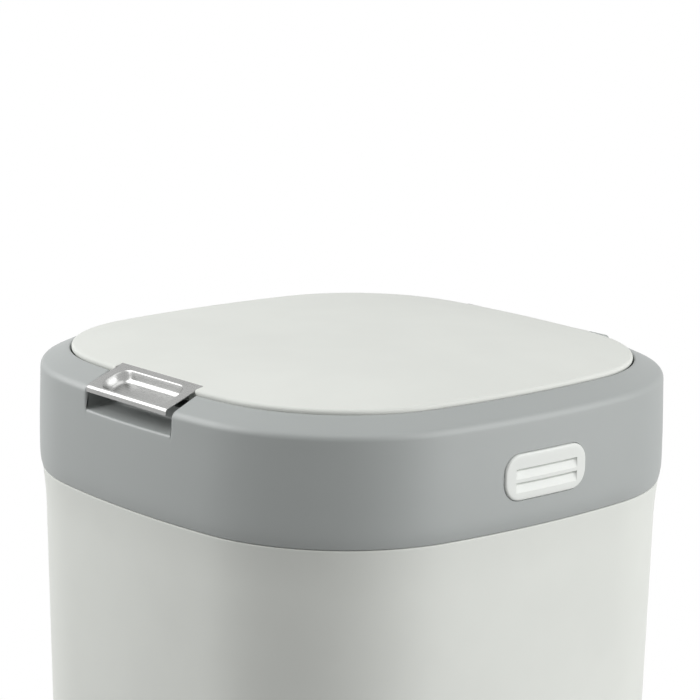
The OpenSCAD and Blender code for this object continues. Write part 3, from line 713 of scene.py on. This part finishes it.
TAB_A = math.radians(21.2)
TAB_Y, TAB_Z = -side_at(20.4, 0), dome_at(20.4) + 0.2
TAB_HALF = 29.25
STUD_X, STUD_Y = 25.85, -1.7


def tab_point(x, y, z):
    """From the tab's own frame, on its rear edge with -Y down the slope, to the object's."""
    return (x, y*math.cos(TAB_A) - z*math.sin(TAB_A) + TAB_Y, y*math.sin(TAB_A) + z*math.cos(TAB_A) + TAB_Z)


def stud(bm, side, levels):
    """A round stud of the tab, or its hole, from (radius, height) levels in the tab's own frame."""
    solid(bm, [[tab_point(side*STUD_X + r*c, STUD_Y + r*s, z) for c, s in circle(20)] for r, z in levels])


def make_lid():
    n_dome, edge_r = 22, 1.6
    dome = [DOME_U + (DOME_END_U - DOME_U)*(k/n_dome)**1.15 for k in range(n_dome + 1)]
    dome = [(u, dome_at(u)) for u in dome]
    edge = [(16.6 - edge_r*math.cos(t), 531.58 + edge_r*math.sin(t)) for t in
            [math.radians(a) for a in (0, 13, 26, 39, 52, 65, 78)]]
    outer = [(18.6, 525.6), (16.9, 525.6), (16.5, 525.75), (16.4, 526.1), (16.4, 528.6), (16.2, 529.2),
             (15.2, 530.3), (15.02, 530.8)] + edge + dome
    under = [(u, z - 2.2) for u, z in dome if u > 20.6]
    inner = list(reversed(under)) + [(19.6, 531.05), (18.8, 530.5), (18.6, 529.8)]
    bm = bmesh.new()
    lathe_plan(bm, inner + outer, FINE_COLS)
    tidy(bm)
    ob = obj_from("lid_shell", bm)
    src = uncut_surface(ob)

    def tab_room(bm):
        floor, front = -0.82, 113.0
        a, b = tab_point(0, 0.3, floor), tab_point(0, 0.3, 18.4)
        c = tab_point(0, (-TAB_Y - front + floor*math.sin(TAB_A))/math.cos(TAB_A), floor)
        poly = [a[1:], b[1:], (-130, 549), (-130, 524.6), (-front, 524.6), c[1:]]
        prism(bm, poly, -TAB_HALF - 0.2, TAB_HALF + 0.2, "yz")

    def dish_room(bm):
        w, y0, y1 = 24.4, -36.8, -2.1
        ring = fillet([(-w, y0), (w, y0), (w, y1, 5), (-w, y1, 5)], 6)
        solid(bm, [[tab_point(x, y, z) for x, y in ring] for z in (-22.9, 0.2)])

    def studs(bm):
        for side in (-1, 1):
            stud(bm, side, ((1.05, -9), (1.05, 1.0)))

    cut(ob, tool(tab_room), tool(dish_room), tool(studs))

    with editing(ob) as bm:
        for s in (-1, 1):
            x0, x1 = sorted((s*8.6, s*37.8))
            r, e = 4.2, 0.35
            turn_x(bm, [(1.55, x0), (r - e, x0), (r, x0 + e), (r, x1 - e), (r - e, x1), (1.55, x1)],
                   HINGE_Y, HINGE_Z, 36)
            arm = fillet([(111.5, 527.6), (111.5, 531.2), (119.0, 531.2), (119.0, 527.9),
                          (116, 527.6, 0.5)], 3)
            prism(bm, arm, x0 + 0.1, x1 - 0.1, "yz")
        for sx, sy in QUADRANTS:
            turn_z(bm, [(1.3, 527.8), (3.5, 527.8), (3.5, 534.6), (1.3, 534.6)],
                   sx*LID_SCREW, sy*LID_SCREW, 24)
    take_shading(ob, src)
    give(ob, "lid_plastic", "lid", "lid")


make_lid()

# ------------------------------------------------------------------ finger tab
def framed(w, lo, hi, cx, cy, n, nx, ny):
    """A plain rectangle with as many points as rounded() gives, in the same order."""
    mid, yh = (lo + hi)/2, (hi - lo)/2
    x, y, h = w/2 - cx, yh - cy, n//2
    turn = [(w/2, y + cy*k/h) for k in range(h + 1)] + [(w/2 - cx*k/h, yh) for k in range(1, h + 1)]
    pts = [(w/2, -y + 2*y*k/ny) for k in range(ny//2, ny)] + turn
    pts += [(x - 2*x*k/nx, yh) for k in range(1, nx)] + [(-a, b) for a, b in reversed(turn)]
    pts += [(-w/2, y - 2*y*k/ny) for k in range(1, ny)] + [(-a, -b) for a, b in turn]
    pts += [(-x + 2*x*k/nx, -yh) for k in range(1, nx)] + [(a, -b) for a, b in reversed(turn)]
    pts += [(w/2, -y + 2*y*k/ny) for k in range(1, ny//2)]
    return [(a, b + mid) for a, b in pts]


def make_tab():
    length, dish_mid, depth = 20.1, -11.5, 4.5
    n, nx, ny = 8, 22, 6
    w, l, corner, steep, rim, root = 48.5, 17.0, 6.8, math.radians(62), 0.7, 2.7
    wide = 4.5
    curl_r, curl, n_curl, lip = 1.8, math.radians(72), 14, 1.4
    # from the middle of the floor out over the root fillet, the wall and the rim
    run = [(8.3, -depth), (7.0, -depth), (5.7, -depth)]
    run += [(wide - root*math.sin(steep*k/6), -depth + root*(1 - math.cos(steep*k/6))) for k in range(7)]
    a, b = run[-1], (rim*math.sin(steep), -rim*(1 - math.cos(steep)))
    run += [((a[0] + b[0])/2, (a[1] + b[1])/2)]
    run += [(rim*math.sin(steep*k/4), -rim*(1 - math.cos(steep*k/4))) for k in (4, 3, 2, 1, 0)]
    rows = []
    for inset, z in run:
        # the corner stays within half the ring's length, so that no ring crosses itself
        r = min(corner - 0.75*inset, l/2 - inset - 0.05)
        rows.append([(x, y + dish_mid, z) for x, y in rounded(w - 2*inset, l - 2*inset, r, n, nx, ny)])
    inner = rows[-1]
    outer = [(x, y, 0.0) for x, y in framed(2*TAB_HALF, -length, 0, 8, 4.5, n, nx, ny)]
    count = len(inner)
    bm = bmesh.new()
    for t in (0.15, 0.5, 0.85):
        rows.append([(p[0] + (q[0] - p[0])*t, p[1] + (q[1] - p[1])*t, 0.0) for p, q in zip(inner, outer)])
    rows.append(outer)
    vs = [[bm.verts.new(tuple(c*MM for c in tab_point(*p))) for p in r] for r in rows]
    for i in range(len(vs) - 1):
        for j in range(count):
            k = (j + 1) % count
            bm.faces.new((vs[i][j], vs[i + 1][j], vs[i + 1][k], vs[i][k]))
    close_pairs(bm, vs[0])
    # the plate's front edge, from left to right, is rolled down
    front = [(p[0], v) for v, p in zip(vs[-1], outer) if abs(p[1] + length) < 1e-6]
    order = sorted(front, key=lambda e: e[0])
    fx, last = [x for x, _ in order], [v for _, v in order]
    path = [(-length - curl_r*math.sin(curl*k/n_curl), -curl_r + curl_r*math.cos(curl*k/n_curl))
            for k in range(1, n_curl + 1)]
    py, pz = path[-1]
    path += [(py - q*math.cos(curl), pz - q*math.sin(curl)) for q in (lip/2, lip)]
    for y, z in path:
        cur = [bm.verts.new(tuple(q*MM for q in tab_point(x, y, z))) for x in fx]
        for j in range(len(cur) - 1):
            bm.faces.new((last[j], cur[j], cur[j + 1], last[j + 1]))
        last = cur
    bmesh.ops.remove_doubles(bm, verts=bm.verts, dist=WELD)
    bmesh.ops.recalc_face_normals(bm, faces=bm.faces)
    up = Vector((0, -math.sin(TAB_A), math.cos(TAB_A)))
    bm.faces.ensure_lookup_table()
    if sum(f.normal.dot(up)*f.calc_area() for f in bm.faces) < 0:
        bmesh.ops.reverse_faces(bm, faces=bm.faces)
    ob = obj_from("tab_sheet", bm)
    mod = ob.modifiers.new("sheet", "SOLIDIFY")
    mod.thickness = 0.65*MM
    mod.offset = -1.0
    applied(ob)
    bevel(ob, 0.22, 60)
    with editing(ob) as bm:
        for side in (-1, 1):
            stud(bm, side, ((0.5, -6.2), (1.0, -5.8), (1.0, -0.6)))
    shade(ob, 40)
    give(ob, "tab_steel", "lid", "lift_tab")


make_tab()

# ------------------------------------------------------------------ squeeze buttons
PROUD = 0.9


def level(x):
    """A flat face at a distance x from the middle of the bin."""
    return lambda y: x


def along_side(u):
    """A face that follows the collar's side, moved in by u."""
    return lambda y: side_at(u, y)


def mirror(ob):
    """Turns a piece into the other hand, across the plane x = 0."""
    with editing(ob) as bm:
        bmesh.ops.scale(bm, vec=(-1, 1, 1), verts=bm.verts)
        bmesh.ops.reverse_faces(bm, faces=bm.faces)


def make_button(side, sgn):
    def shell(bm, rings, hand):
        """Rings of (growth, face) joined in order and filled at both ends."""
        rows = [[(hand*fx(y), y, z + BUTTON_Z) for y, z in button_outline(grow, 24, 6)] for grow, fx in rings]
        vs = grid(bm, rows, False, True)
        close_pairs(bm, vs[0])
        close_pairs(bm, vs[-1])

    r = 0.95
    rings = [(-10.0, level(125.7)), (-4, level(125.7)), (0, level(125.7)), (0, level(127.2)),
             (0, along_side(r - PROUD))]
    for t in [math.radians(a) for a in (18, 36, 54, 72, 90)]:
        rings.append((-r*(1 - math.cos(t)), along_side(-(PROUD - r + r*math.sin(t)))))
    rings += [(g, along_side(-PROUD)) for g in (-2.2, -3.6, -5.2, -6.8, -8.4, -9.5, -10.0)]

    def face(name, hand):
        bm = bmesh.new()
        shell(bm, rings, hand)
        tidy(bm)
        return obj_from(name, bm)

    def grooves(bm):
        """Two grooves that grow shallow towards their ends, as (place along, share of the depth)."""
        half = ((6, 1), (12, 1), (16.5, 1), (17.3, 0.8), (18.0, 0.45), (18.4, 0.12))
        section = ((0.7, 0.13), (-0.12, 0.02), (-1.5, 0.1), (-2.3, -0.15), (-2.2, -0.55), (-1.15, -1.2),
                   (-0.8, -2.6), (-0.12, -4.4), (0.7, -5.3))
        run = [(-y, k) for y, k in reversed(half)] + [(0, 1), *half]
        for z in (BUTTON_Z + 3.85, BUTTON_Z - 2.25):
            solid(bm, [[(side_at(-PROUD, y) + (dx*k if dx < 0 else dx), y, z + dz) for dx, dz in section]
                       for y, k in run])

    # both are cut as the right one, so that they come out alike
    ob = cut(face("squeeze_button_" + side, 1), tool(grooves))
    if sgn < 0:
        mirror(ob)
    uncut = face("button_uncut_" + side, sgn)
    src = uncut_surface(uncut)
    discard(uncut)
    take_shading(ob, src, cos_min=0.985)

    # the backing, its hooked arm and the boss inside its spring
    bm = bmesh.new()
    shell(bm, [(-9.0, level(125.2)), (-3, level(125.2)), (1.4, level(125.2)), (1.8, level(125.5)),
               (1.8, along_side(3.5)), (1.5, along_side(3.2)), (-3, along_side(3.2)),
               (-9.0, along_side(3.2))], sgn)
    arm = fillet([(119.3, 478, 0.3), (121.3, 478, 0.3), (124.3, 479.4, 0.4), (124.3, 481, 0.3),
                  (121.3, 481, 0.3), (121.3, 486.6, 0.5), (125.7, 486.6), (125.7, 488.6),
                  (119.3, 488.6, 1.4)], 4)
    prism(bm, [(sgn*x, z) for x, z in arm], -9, 9, "xz")
    boss = [(0.2, 122.4), (2.8, 122.4), (3.2, 122.8), (3.2, 125.4), (0.2, 125.4)]
    turn_x(bm, [(r, sgn*x) for r, x in boss], 0, SPRING_Z, 28, closed=False)
    tidy(bm)
    back = obj_from("button_arm_" + side, bm)
    bevel(back, 0.25, 40)
    for piece in (ob, back):
        give(piece, "button_plastic", "button_" + side, "button_" + side)


make_button("right", 1)
make_button("left", -1)

# ------------------------------------------------------------------ rings, seals and the inner funnel
def ring_piece(name, loop, mat, body, node, cutters=()):
    """A soft or moulded ring swept all round from its cross-section."""
    bm = bmesh.new()
    sweep(bm, fillet(loop, 4), COLS)
    tidy(bm)
    ob = obj_from(name, bm)
    if cutters:
        src = uncut_surface(ob)
        cut(ob, *[tool(c) for c in cutters])
        take_shading(ob, src)
    give(ob, mat, body, node)


def ring_window(bm):
    latch_slots(bm, 11.5, 475, 488, 1.5, 13.2, 3.2)


ring_piece("bag_ring_soft",
           [(5.2, 484, 0), (5.2, 485.5, 0.6), (9.6, 485.5, 0.5), (10.2, 484.9, 0.3), (10.2, 466, 0.7),
            (8.0, 466, 0.7), (8.0, 484, 0)],
           "inner_plastic", "bin_body", "bag_ring", cutters=(ring_window,))
ring_piece("rim_seal_soft",
           [(2.8, 475.7, 0), (2.8, 476.9, 0.5), (3.3, 477.3, 0.4), (5.2, 477.3, 0), (5.2, 475.7, 0)],
           "seal_rubber", "bin_body", "rim_seal")
ring_piece("lid_seal_soft",
           [(20.4, 526, 0), (20.4, 524.4, 0.5), (21.2, 523.8, 0.6), (22.8, 523.8, 0.6), (23.6, 524.4, 0.5),
            (23.6, 526, 0)],
           "seal_rubber", "lid", "lid_seal")

FLAP_PIN_Y, FLAP_PIN_Z = 58.4, 505.6


def make_deck():
    loop = fillet([(4, 518.8), (4, 521), (24.3, 521, 0.5), (26.5, 520.4, 1.5), (48, 512.4, 2),
                   (49.5, 512), (60, 512), (60, 509.8), (49, 509.8), (47.3, 510.2, 1),
                   (25.8, 518.2, 1), (24, 518.8, 0.4)], 4)
    bm = bmesh.new()
    sweep(bm, loop, COLS)
    tidy(bm)
    ob = obj_from("deck_funnel", bm)
    src = uncut_surface(ob)

    def pocket(bm):
        y = -side_at(16.8 + 0.3, 33.7)
        prism(bm, fillet([(-34, -140), (34, -140), (34, y, 1.2), (-34, y, 1.2)], 4), 517, 523, "xy")

    def holes(bm):
        spots = [(sx*px, sy*py, 1.6) for px, py in DECK_SCREWS for sx, sy in QUADRANTS]
        spots += [(sx*43, side_at(14.4, 0), 1.6) for sx in (-1, 1)]
        spots += [(sx*side_at(12.5, 0), sy*26.05, 1.3) for sx, sy in QUADRANTS]
        for x, y, r in spots:
            turn_z(bm, [(0.1, 517), (r, 517), (r, 522), (0.1, 522)], x, y, 20, closed=False)

    cut(ob, tool(pocket), tool(holes))

    def plate(bm):
        lathe_plan(bm, [(49.6, 509.8), (49.6, 512)], COLS)

    def opening(bm):
        w, h, r = 126, 118, 7
        solid(bm, [[(x, y, z) for x, y in rounded(w + 2*grow, h + 2*grow, r + grow, 8, 6, 6)] for grow, z in
                   ((0, 505), (0, 511.0), (0.25, 511.6), (0.7, 511.95), (1.2, 512.3), (1.2, 515))])

    def walls(bm):
        grid(bm, [[(x, y, z) for x, y in rounded(w, h, r, 6, 6, 6)] for w, h, r, z in
                  ((136.4, 128.4, 6, 510.6), (136.4, 128.4, 6, 498.9), (135.6, 127.6, 5.6, 498.4),
                   (132.8, 124.8, 4, 498.4), (132, 124, 3.6, 498.8), (132, 124, 3.6, 509.8),
                   (134, 126, 4, 510.6))], True, True)

    p = tool(plate)
    cut(p, tool(opening))
    w = tool(walls)

    def pins(bm):
        for y in (-FLAP_PIN_Y, FLAP_PIN_Y):
            turn_x(bm, [(0.1, -71), (1.52, -71), (1.52, 71), (0.1, 71)], y, FLAP_PIN_Z, 20, closed=False)

    cut(w, tool(pins))
    bm = bmesh.new()
    for part in (p, w):
        bm.from_mesh(part.data)
        discard(part)
    extra = obj_from("deck_throat", bm)
    shade(extra, 30)
    take_shading(ob, src)
    give(extra, "inner_plastic", "collar", "deck")
    give(ob, "inner_plastic", "collar", "deck")


make_deck()


def make_liner():
    edge = fillet([(40, 526.0), (18.9, 526.0, 0.4), (18.9, 527.2, 0.3), (21.5, 527.8, 0.4), (40, 527.8)], 3,
                  closed=False)
    bm = bmesh.new()
    lathe_plan(bm, edge, COLS)
    tidy(bm)
    ob = obj_from("liner_panel", bm)

    def bevel_room(bm):
        section = ((-18.4, -6.7), (5, -6.7), (5, 0), (-18.4, 0))
        solid(bm, [[tab_point(x, y, z) for y, z in section] for x in (-TAB_HALF, TAB_HALF)])

    def holes(bm):
        for sx, sy in QUADRANTS:
            turn_z(bm, [(0.1, 525), (1.6, 525), (1.6, 529), (0.1, 529)], sx*LID_SCREW, sy*LID_SCREW, 20,
                   closed=False)

    cut(ob, tool(bevel_room), tool(holes))
    lug = ((32.6, -3.6), (33.9, -3.4), (34.0, 0), (33.9, 3.4), (32.6, 3.6))
    with editing(ob) as bm:
        turn_z(bm, fillet([(31, 526.2), (31, 518.2, 0.4), (33, 518.2, 0.4), (33, 526.2)], 3), 0, 0, 72)
        for t in [math.radians(a) for a in (0, 120, 240)]:
            c, s = math.cos(t), math.sin(t)
            solid(bm, [[(x*c - y*s, x*s + y*c, z) for x, y in lug] for z in (521.2, 522.7)])
    shade(ob, 32)
    give(ob, "inner_plastic", "lid", "lid_liner")


make_liner()

# ------------------------------------------------------------------ springs, as wound wire
WIRE_R = 0.43


def wire(name, points, node):
    """Round spring wire along points, on the collar."""
    cu = bpy.data.curves.new(name, "CURVE")
    cu.dimensions = "3D"
    cu.bevel_depth = WIRE_R*MM
    cu.bevel_resolution = 3
    cu.use_fill_caps = True
    sp = cu.splines.new("POLY")
    sp.points.add(len(points) - 1)
    for p, q in zip(sp.points, points):
        p.co = (q[0]*MM, q[1]*MM, q[2]*MM, 1)
    ob = bpy.data.objects.new(name, cu)
    bpy.context.scene.collection.objects.link(ob)
    me = bpy.data.meshes.new_from_object(ob)
    bpy.data.objects.remove(ob)
    bpy.data.curves.remove(cu)
    ob = bpy.data.objects.new(name, me)
    me.name = name
    bpy.context.scene.collection.objects.link(ob)
    shade(ob, 60)
    give(ob, "spring_steel", "collar", node)
    return ob


def button_spring(side, sgn):
    x0, x1, r, turns = 114.48, 124.72, 4.3, 5.5
    n, end, flat = 132, 0.75, 0.9
    pts = []
    for i in range(n + 1):
        k = i/n
        # the end turns lie nearly flat
        s = min(max((k*turns - end)/(turns - 2*end), 0), 1)
        x = x0 + flat*min(k*turns/end, 1)/2 + (x1 - x0 - flat)*s + flat*max((k*turns - turns + end)/end, 0)/2
        t = 2*math.pi*turns*k
        pts.append((sgn*x, r*math.sin(t), SPRING_Z - r*math.cos(t)))
    coil = wire("button_coil_" + side, pts, "button_spring_" + side)
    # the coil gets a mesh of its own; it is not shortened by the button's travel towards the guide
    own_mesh(coil)


def flap_spring(name, sgn):
    ox, oy, oz, r = -65.0, -FLAP_PIN_Y, FLAP_PIN_Z, 2.3
    width, turns, n = 6.5, 6, 120
    pts = [(ox, sgn*(oy - r), oz - r), (ox, sgn*(oy - 1.0), oz - r)]
    for i in range(n + 1):
        t = 2*math.pi*turns*i/n
        pts.append((ox + width*i/n, sgn*(oy + r*math.sin(t)), oz - r*math.cos(t)))
    pts += [(ox + width, sgn*(oy + dy), oz + dz) for dy, dz in ((2.2, -1.6), (4.5, -0.75), (8.9, 0.33))]
    wire("flap_coil_" + name, pts, "flap_spring_" + name)


button_spring("right", 1)
button_spring("left", -1)
flap_spring("front", 1)
flap_spring("rear", -1)

# ------------------------------------------------------------------ odour flaps
def make_flap(name, s):
    y_in, y_end = s*0.5, s*FLAP_PIN_Y - s*1.0
    bm = bmesh.new()
    plate = fillet([(y_in, 506.5, 0.5), (y_in, 508.8, 0.9), (y_end, 508.8), (y_end, 506.5)], 4)
    prism(bm, plate, -64.8, 64.8, "yz")
    tidy(bm)
    ob = obj_from("flap_" + name + "_plate", bm)

    def room(bm):
        y0, y1 = sorted((s*(FLAP_PIN_Y - 4.5), s*(FLAP_PIN_Y + 5)))
        prism(bm, [(-65.8, y0), (-56.0, y0), (-56.0, y1), (-65.8, y1)], 500.6, 510.6, "xy")

    cut(ob, tool(room))
    with editing(ob) as bm:
        turn_x(bm, [(1.55, -55.8), (2.9, -55.8), (3.2, -55.5), (3.2, 64.5), (2.9, 64.8), (1.55, 64.8)],
               s*FLAP_PIN_Y, FLAP_PIN_Z, 32)
        rib = fillet([(s*6, 506.7), (s*6, 504.9, 1.2), (s*8, 503.0, 1.5), (s*57.0, 503.0, 0.5),
                      (s*57.4, 506.7)], 4)
        for x in (-30, 30):
            prism(bm, rib, x - 0.9, x + 0.9, "yz")
        tidy(bm)
    bevel(ob, 0.22, 40)
    give(ob, "inner_plastic", "flap_" + name, "flap_" + name)


make_flap("front", -1)
make_flap("rear", 1)

# ------------------------------------------------------------------ finishes of the CAD nodes
# Springs that aren't named here are spring steel, and other pieces are the inner plastic.
FINISH = {
    "feet": "rubber", "catch_clips": "spring_steel", "deck_screws": "screw_steel", "flap_pins": "screw_steel",
    "hinge_mount": "mount_plastic", "hinge_pin": "screw_steel", "hinge_screws": "screw_steel",
    "guide_screws": "screw_steel", "lid_screws": "screw_steel", "tab_clips": "spring_steel",
    "charcoal_block": "charcoal", "deodoriser_cap": "mount_plastic",
    "tub": "tub_plastic", "collar": "collar_plastic", "lid": "lid_plastic", "lift_tab": "tab_steel",
    "button_right": "button_plastic", "button_left": "button_plastic",
    "rim_seal": "seal_rubber", "lid_seal": "seal_rubber",
}
for name, ob in NODES.items():
    paint(ob, FINISH.get(name, "spring_steel" if "spring" in name else "inner_plastic"))

# ------------------------------------------------------------------ floor, light and camera
def make_floor():
    """A round white floor that fades out between two radii, in metres."""
    bm = bmesh.new()
    rows = [[(1000*r*c, 1000*r*s, 0) for c, s in circle(96)] for r in (0.02, 0.3, 0.6, 0.9, 1.15)]
    vs = grid(bm, rows, False, True)
    bm.faces.new(vs[0])
    bmesh.ops.recalc_face_normals(bm, faces=bm.faces)
    ob = obj_from("studio_floor", bm)
    mat, nt, bsdf = new_material("studio_floor")
    bsdf.inputs["Base Color"].default_value = (0.82, 0.82, 0.82, 1)
    bsdf.inputs["Roughness"].default_value = 0.9
    bsdf.inputs["Specular IOR Level"].default_value = 0.0
    tc = nt.nodes.new("ShaderNodeTexCoord")
    ln = nt.nodes.new("ShaderNodeVectorMath")
    ln.operation = "LENGTH"
    nt.links.new(tc.outputs["Object"], ln.inputs[0])
    mr = nt.nodes.new("ShaderNodeMapRange")
    mr.interpolation_type = "SMOOTHERSTEP"
    mr.inputs["From Min"].default_value = 0.42
    mr.inputs["From Max"].default_value = 0.85
    nt.links.new(ln.outputs["Value"], mr.inputs["Value"])
    clear = nt.nodes.new("ShaderNodeBsdfTransparent")
    mix = nt.nodes.new("ShaderNodeMixShader")
    out = nt.nodes["Material Output"]
    nt.links.new(mr.outputs["Result"], mix.inputs["Fac"])
    nt.links.new(bsdf.outputs["BSDF"], mix.inputs[1])
    nt.links.new(clear.outputs["BSDF"], mix.inputs[2])
    nt.links.new(mix.outputs["Shader"], out.inputs["Surface"])
    ob.data.materials.append(mat)


make_floor()


def toward(az, el):
    """The direction at an azimuth (0 in front, 90 on +X) and a height, in degrees."""
    a, e = math.radians(az), math.radians(el)
    return Vector((math.sin(a)*math.cos(e), -math.cos(a)*math.cos(e), math.sin(e)))


def area(name, az, el, dist, w, h, power, target=(0, 0, 0.42)):
    """A soft box of w by h metres that looks at a target."""
    d = toward(az, el)
    light = bpy.data.lights.new(name, "AREA")
    light.shape = "RECTANGLE"
    light.size, light.size_y = w, h
    light.energy = power
    ob = bpy.data.objects.new(name, light)
    ob.location = Vector(target) + d*dist
    ob.rotation_euler = d.to_track_quat("Z", "Y").to_euler()
    bpy.context.scene.collection.objects.link(ob)


area("soft_left", -45, 31, 1.9, 1.8, 1.5, 33.5)
area("soft_right", 119, 18, 1.9, 1.9, 1.9, 34)
area("soft_top", 58, 66, 1.3, 1.2, 1.2, 5.2, (0, 0, 0.5))


def background(nt, strength):
    n = nt.nodes.new("ShaderNodeBackground")
    n.inputs["Color"].default_value = (1, 1, 1, 1)
    n.inputs["Strength"].default_value = strength
    return n.outputs["Background"]


def larger(nt, a, b):
    n = nt.nodes.new("ShaderNodeMath")
    n.operation = "MAXIMUM"
    nt.links.new(a, n.inputs[0])
    nt.links.new(b, n.inputs[1])
    return n.outputs["Value"]


def make_world():
    """White to the camera, to glossy and to transmitted rays, and a weak fill to the rest."""
    world = bpy.data.worlds.new("studio")
    bpy.context.scene.world = world
    world.use_nodes = True
    nt = world.node_tree
    nt.nodes.clear()
    out = nt.nodes.new("ShaderNodeOutputWorld")
    ray = nt.nodes.new("ShaderNodeLightPath").outputs
    direct = larger(nt, ray["Is Camera Ray"], ray["Is Transmission Ray"])
    mix = nt.nodes.new("ShaderNodeMixShader")
    nt.links.new(larger(nt, direct, ray["Is Glossy Ray"]), mix.inputs["Fac"])
    nt.links.new(background(nt, 0.09), mix.inputs[1])
    nt.links.new(background(nt, 1.0), mix.inputs[2])
    nt.links.new(mix.outputs["Shader"], out.inputs["Surface"])


make_world()

scene = bpy.context.scene
scene.view_settings.view_transform = "Standard"


def make_camera():
    """The photo's camera: its place, seen from a point on the axis, and a line of sight of its own."""
    place = Vector((0, 0, 0.476)) + 1.254853*toward(49.182, 14.547)
    look_az, roll = 49.208, math.radians(0.826)
    back = toward(look_az, 12.102)
    right = Vector((math.cos(math.radians(look_az)), math.sin(math.radians(look_az)), 0))
    up = back.cross(right)
    right2 = right*math.cos(roll) + up*math.sin(roll)
    up2 = up*math.cos(roll) - right*math.sin(roll)
    cam = bpy.data.cameras.new("camera")
    cam.sensor_fit = "HORIZONTAL"
    cam.sensor_width = 36
    cam.lens = 137.246
    cam.clip_start = 0.05
    cam.clip_end = 50
    ob = bpy.data.objects.new("camera", cam)
    m = Matrix((right2, up2, back)).transposed().to_4x4()
    m.translation = place
    ob.matrix_world = m
    scene.collection.objects.link(ob)
    scene.camera = ob


make_camera()
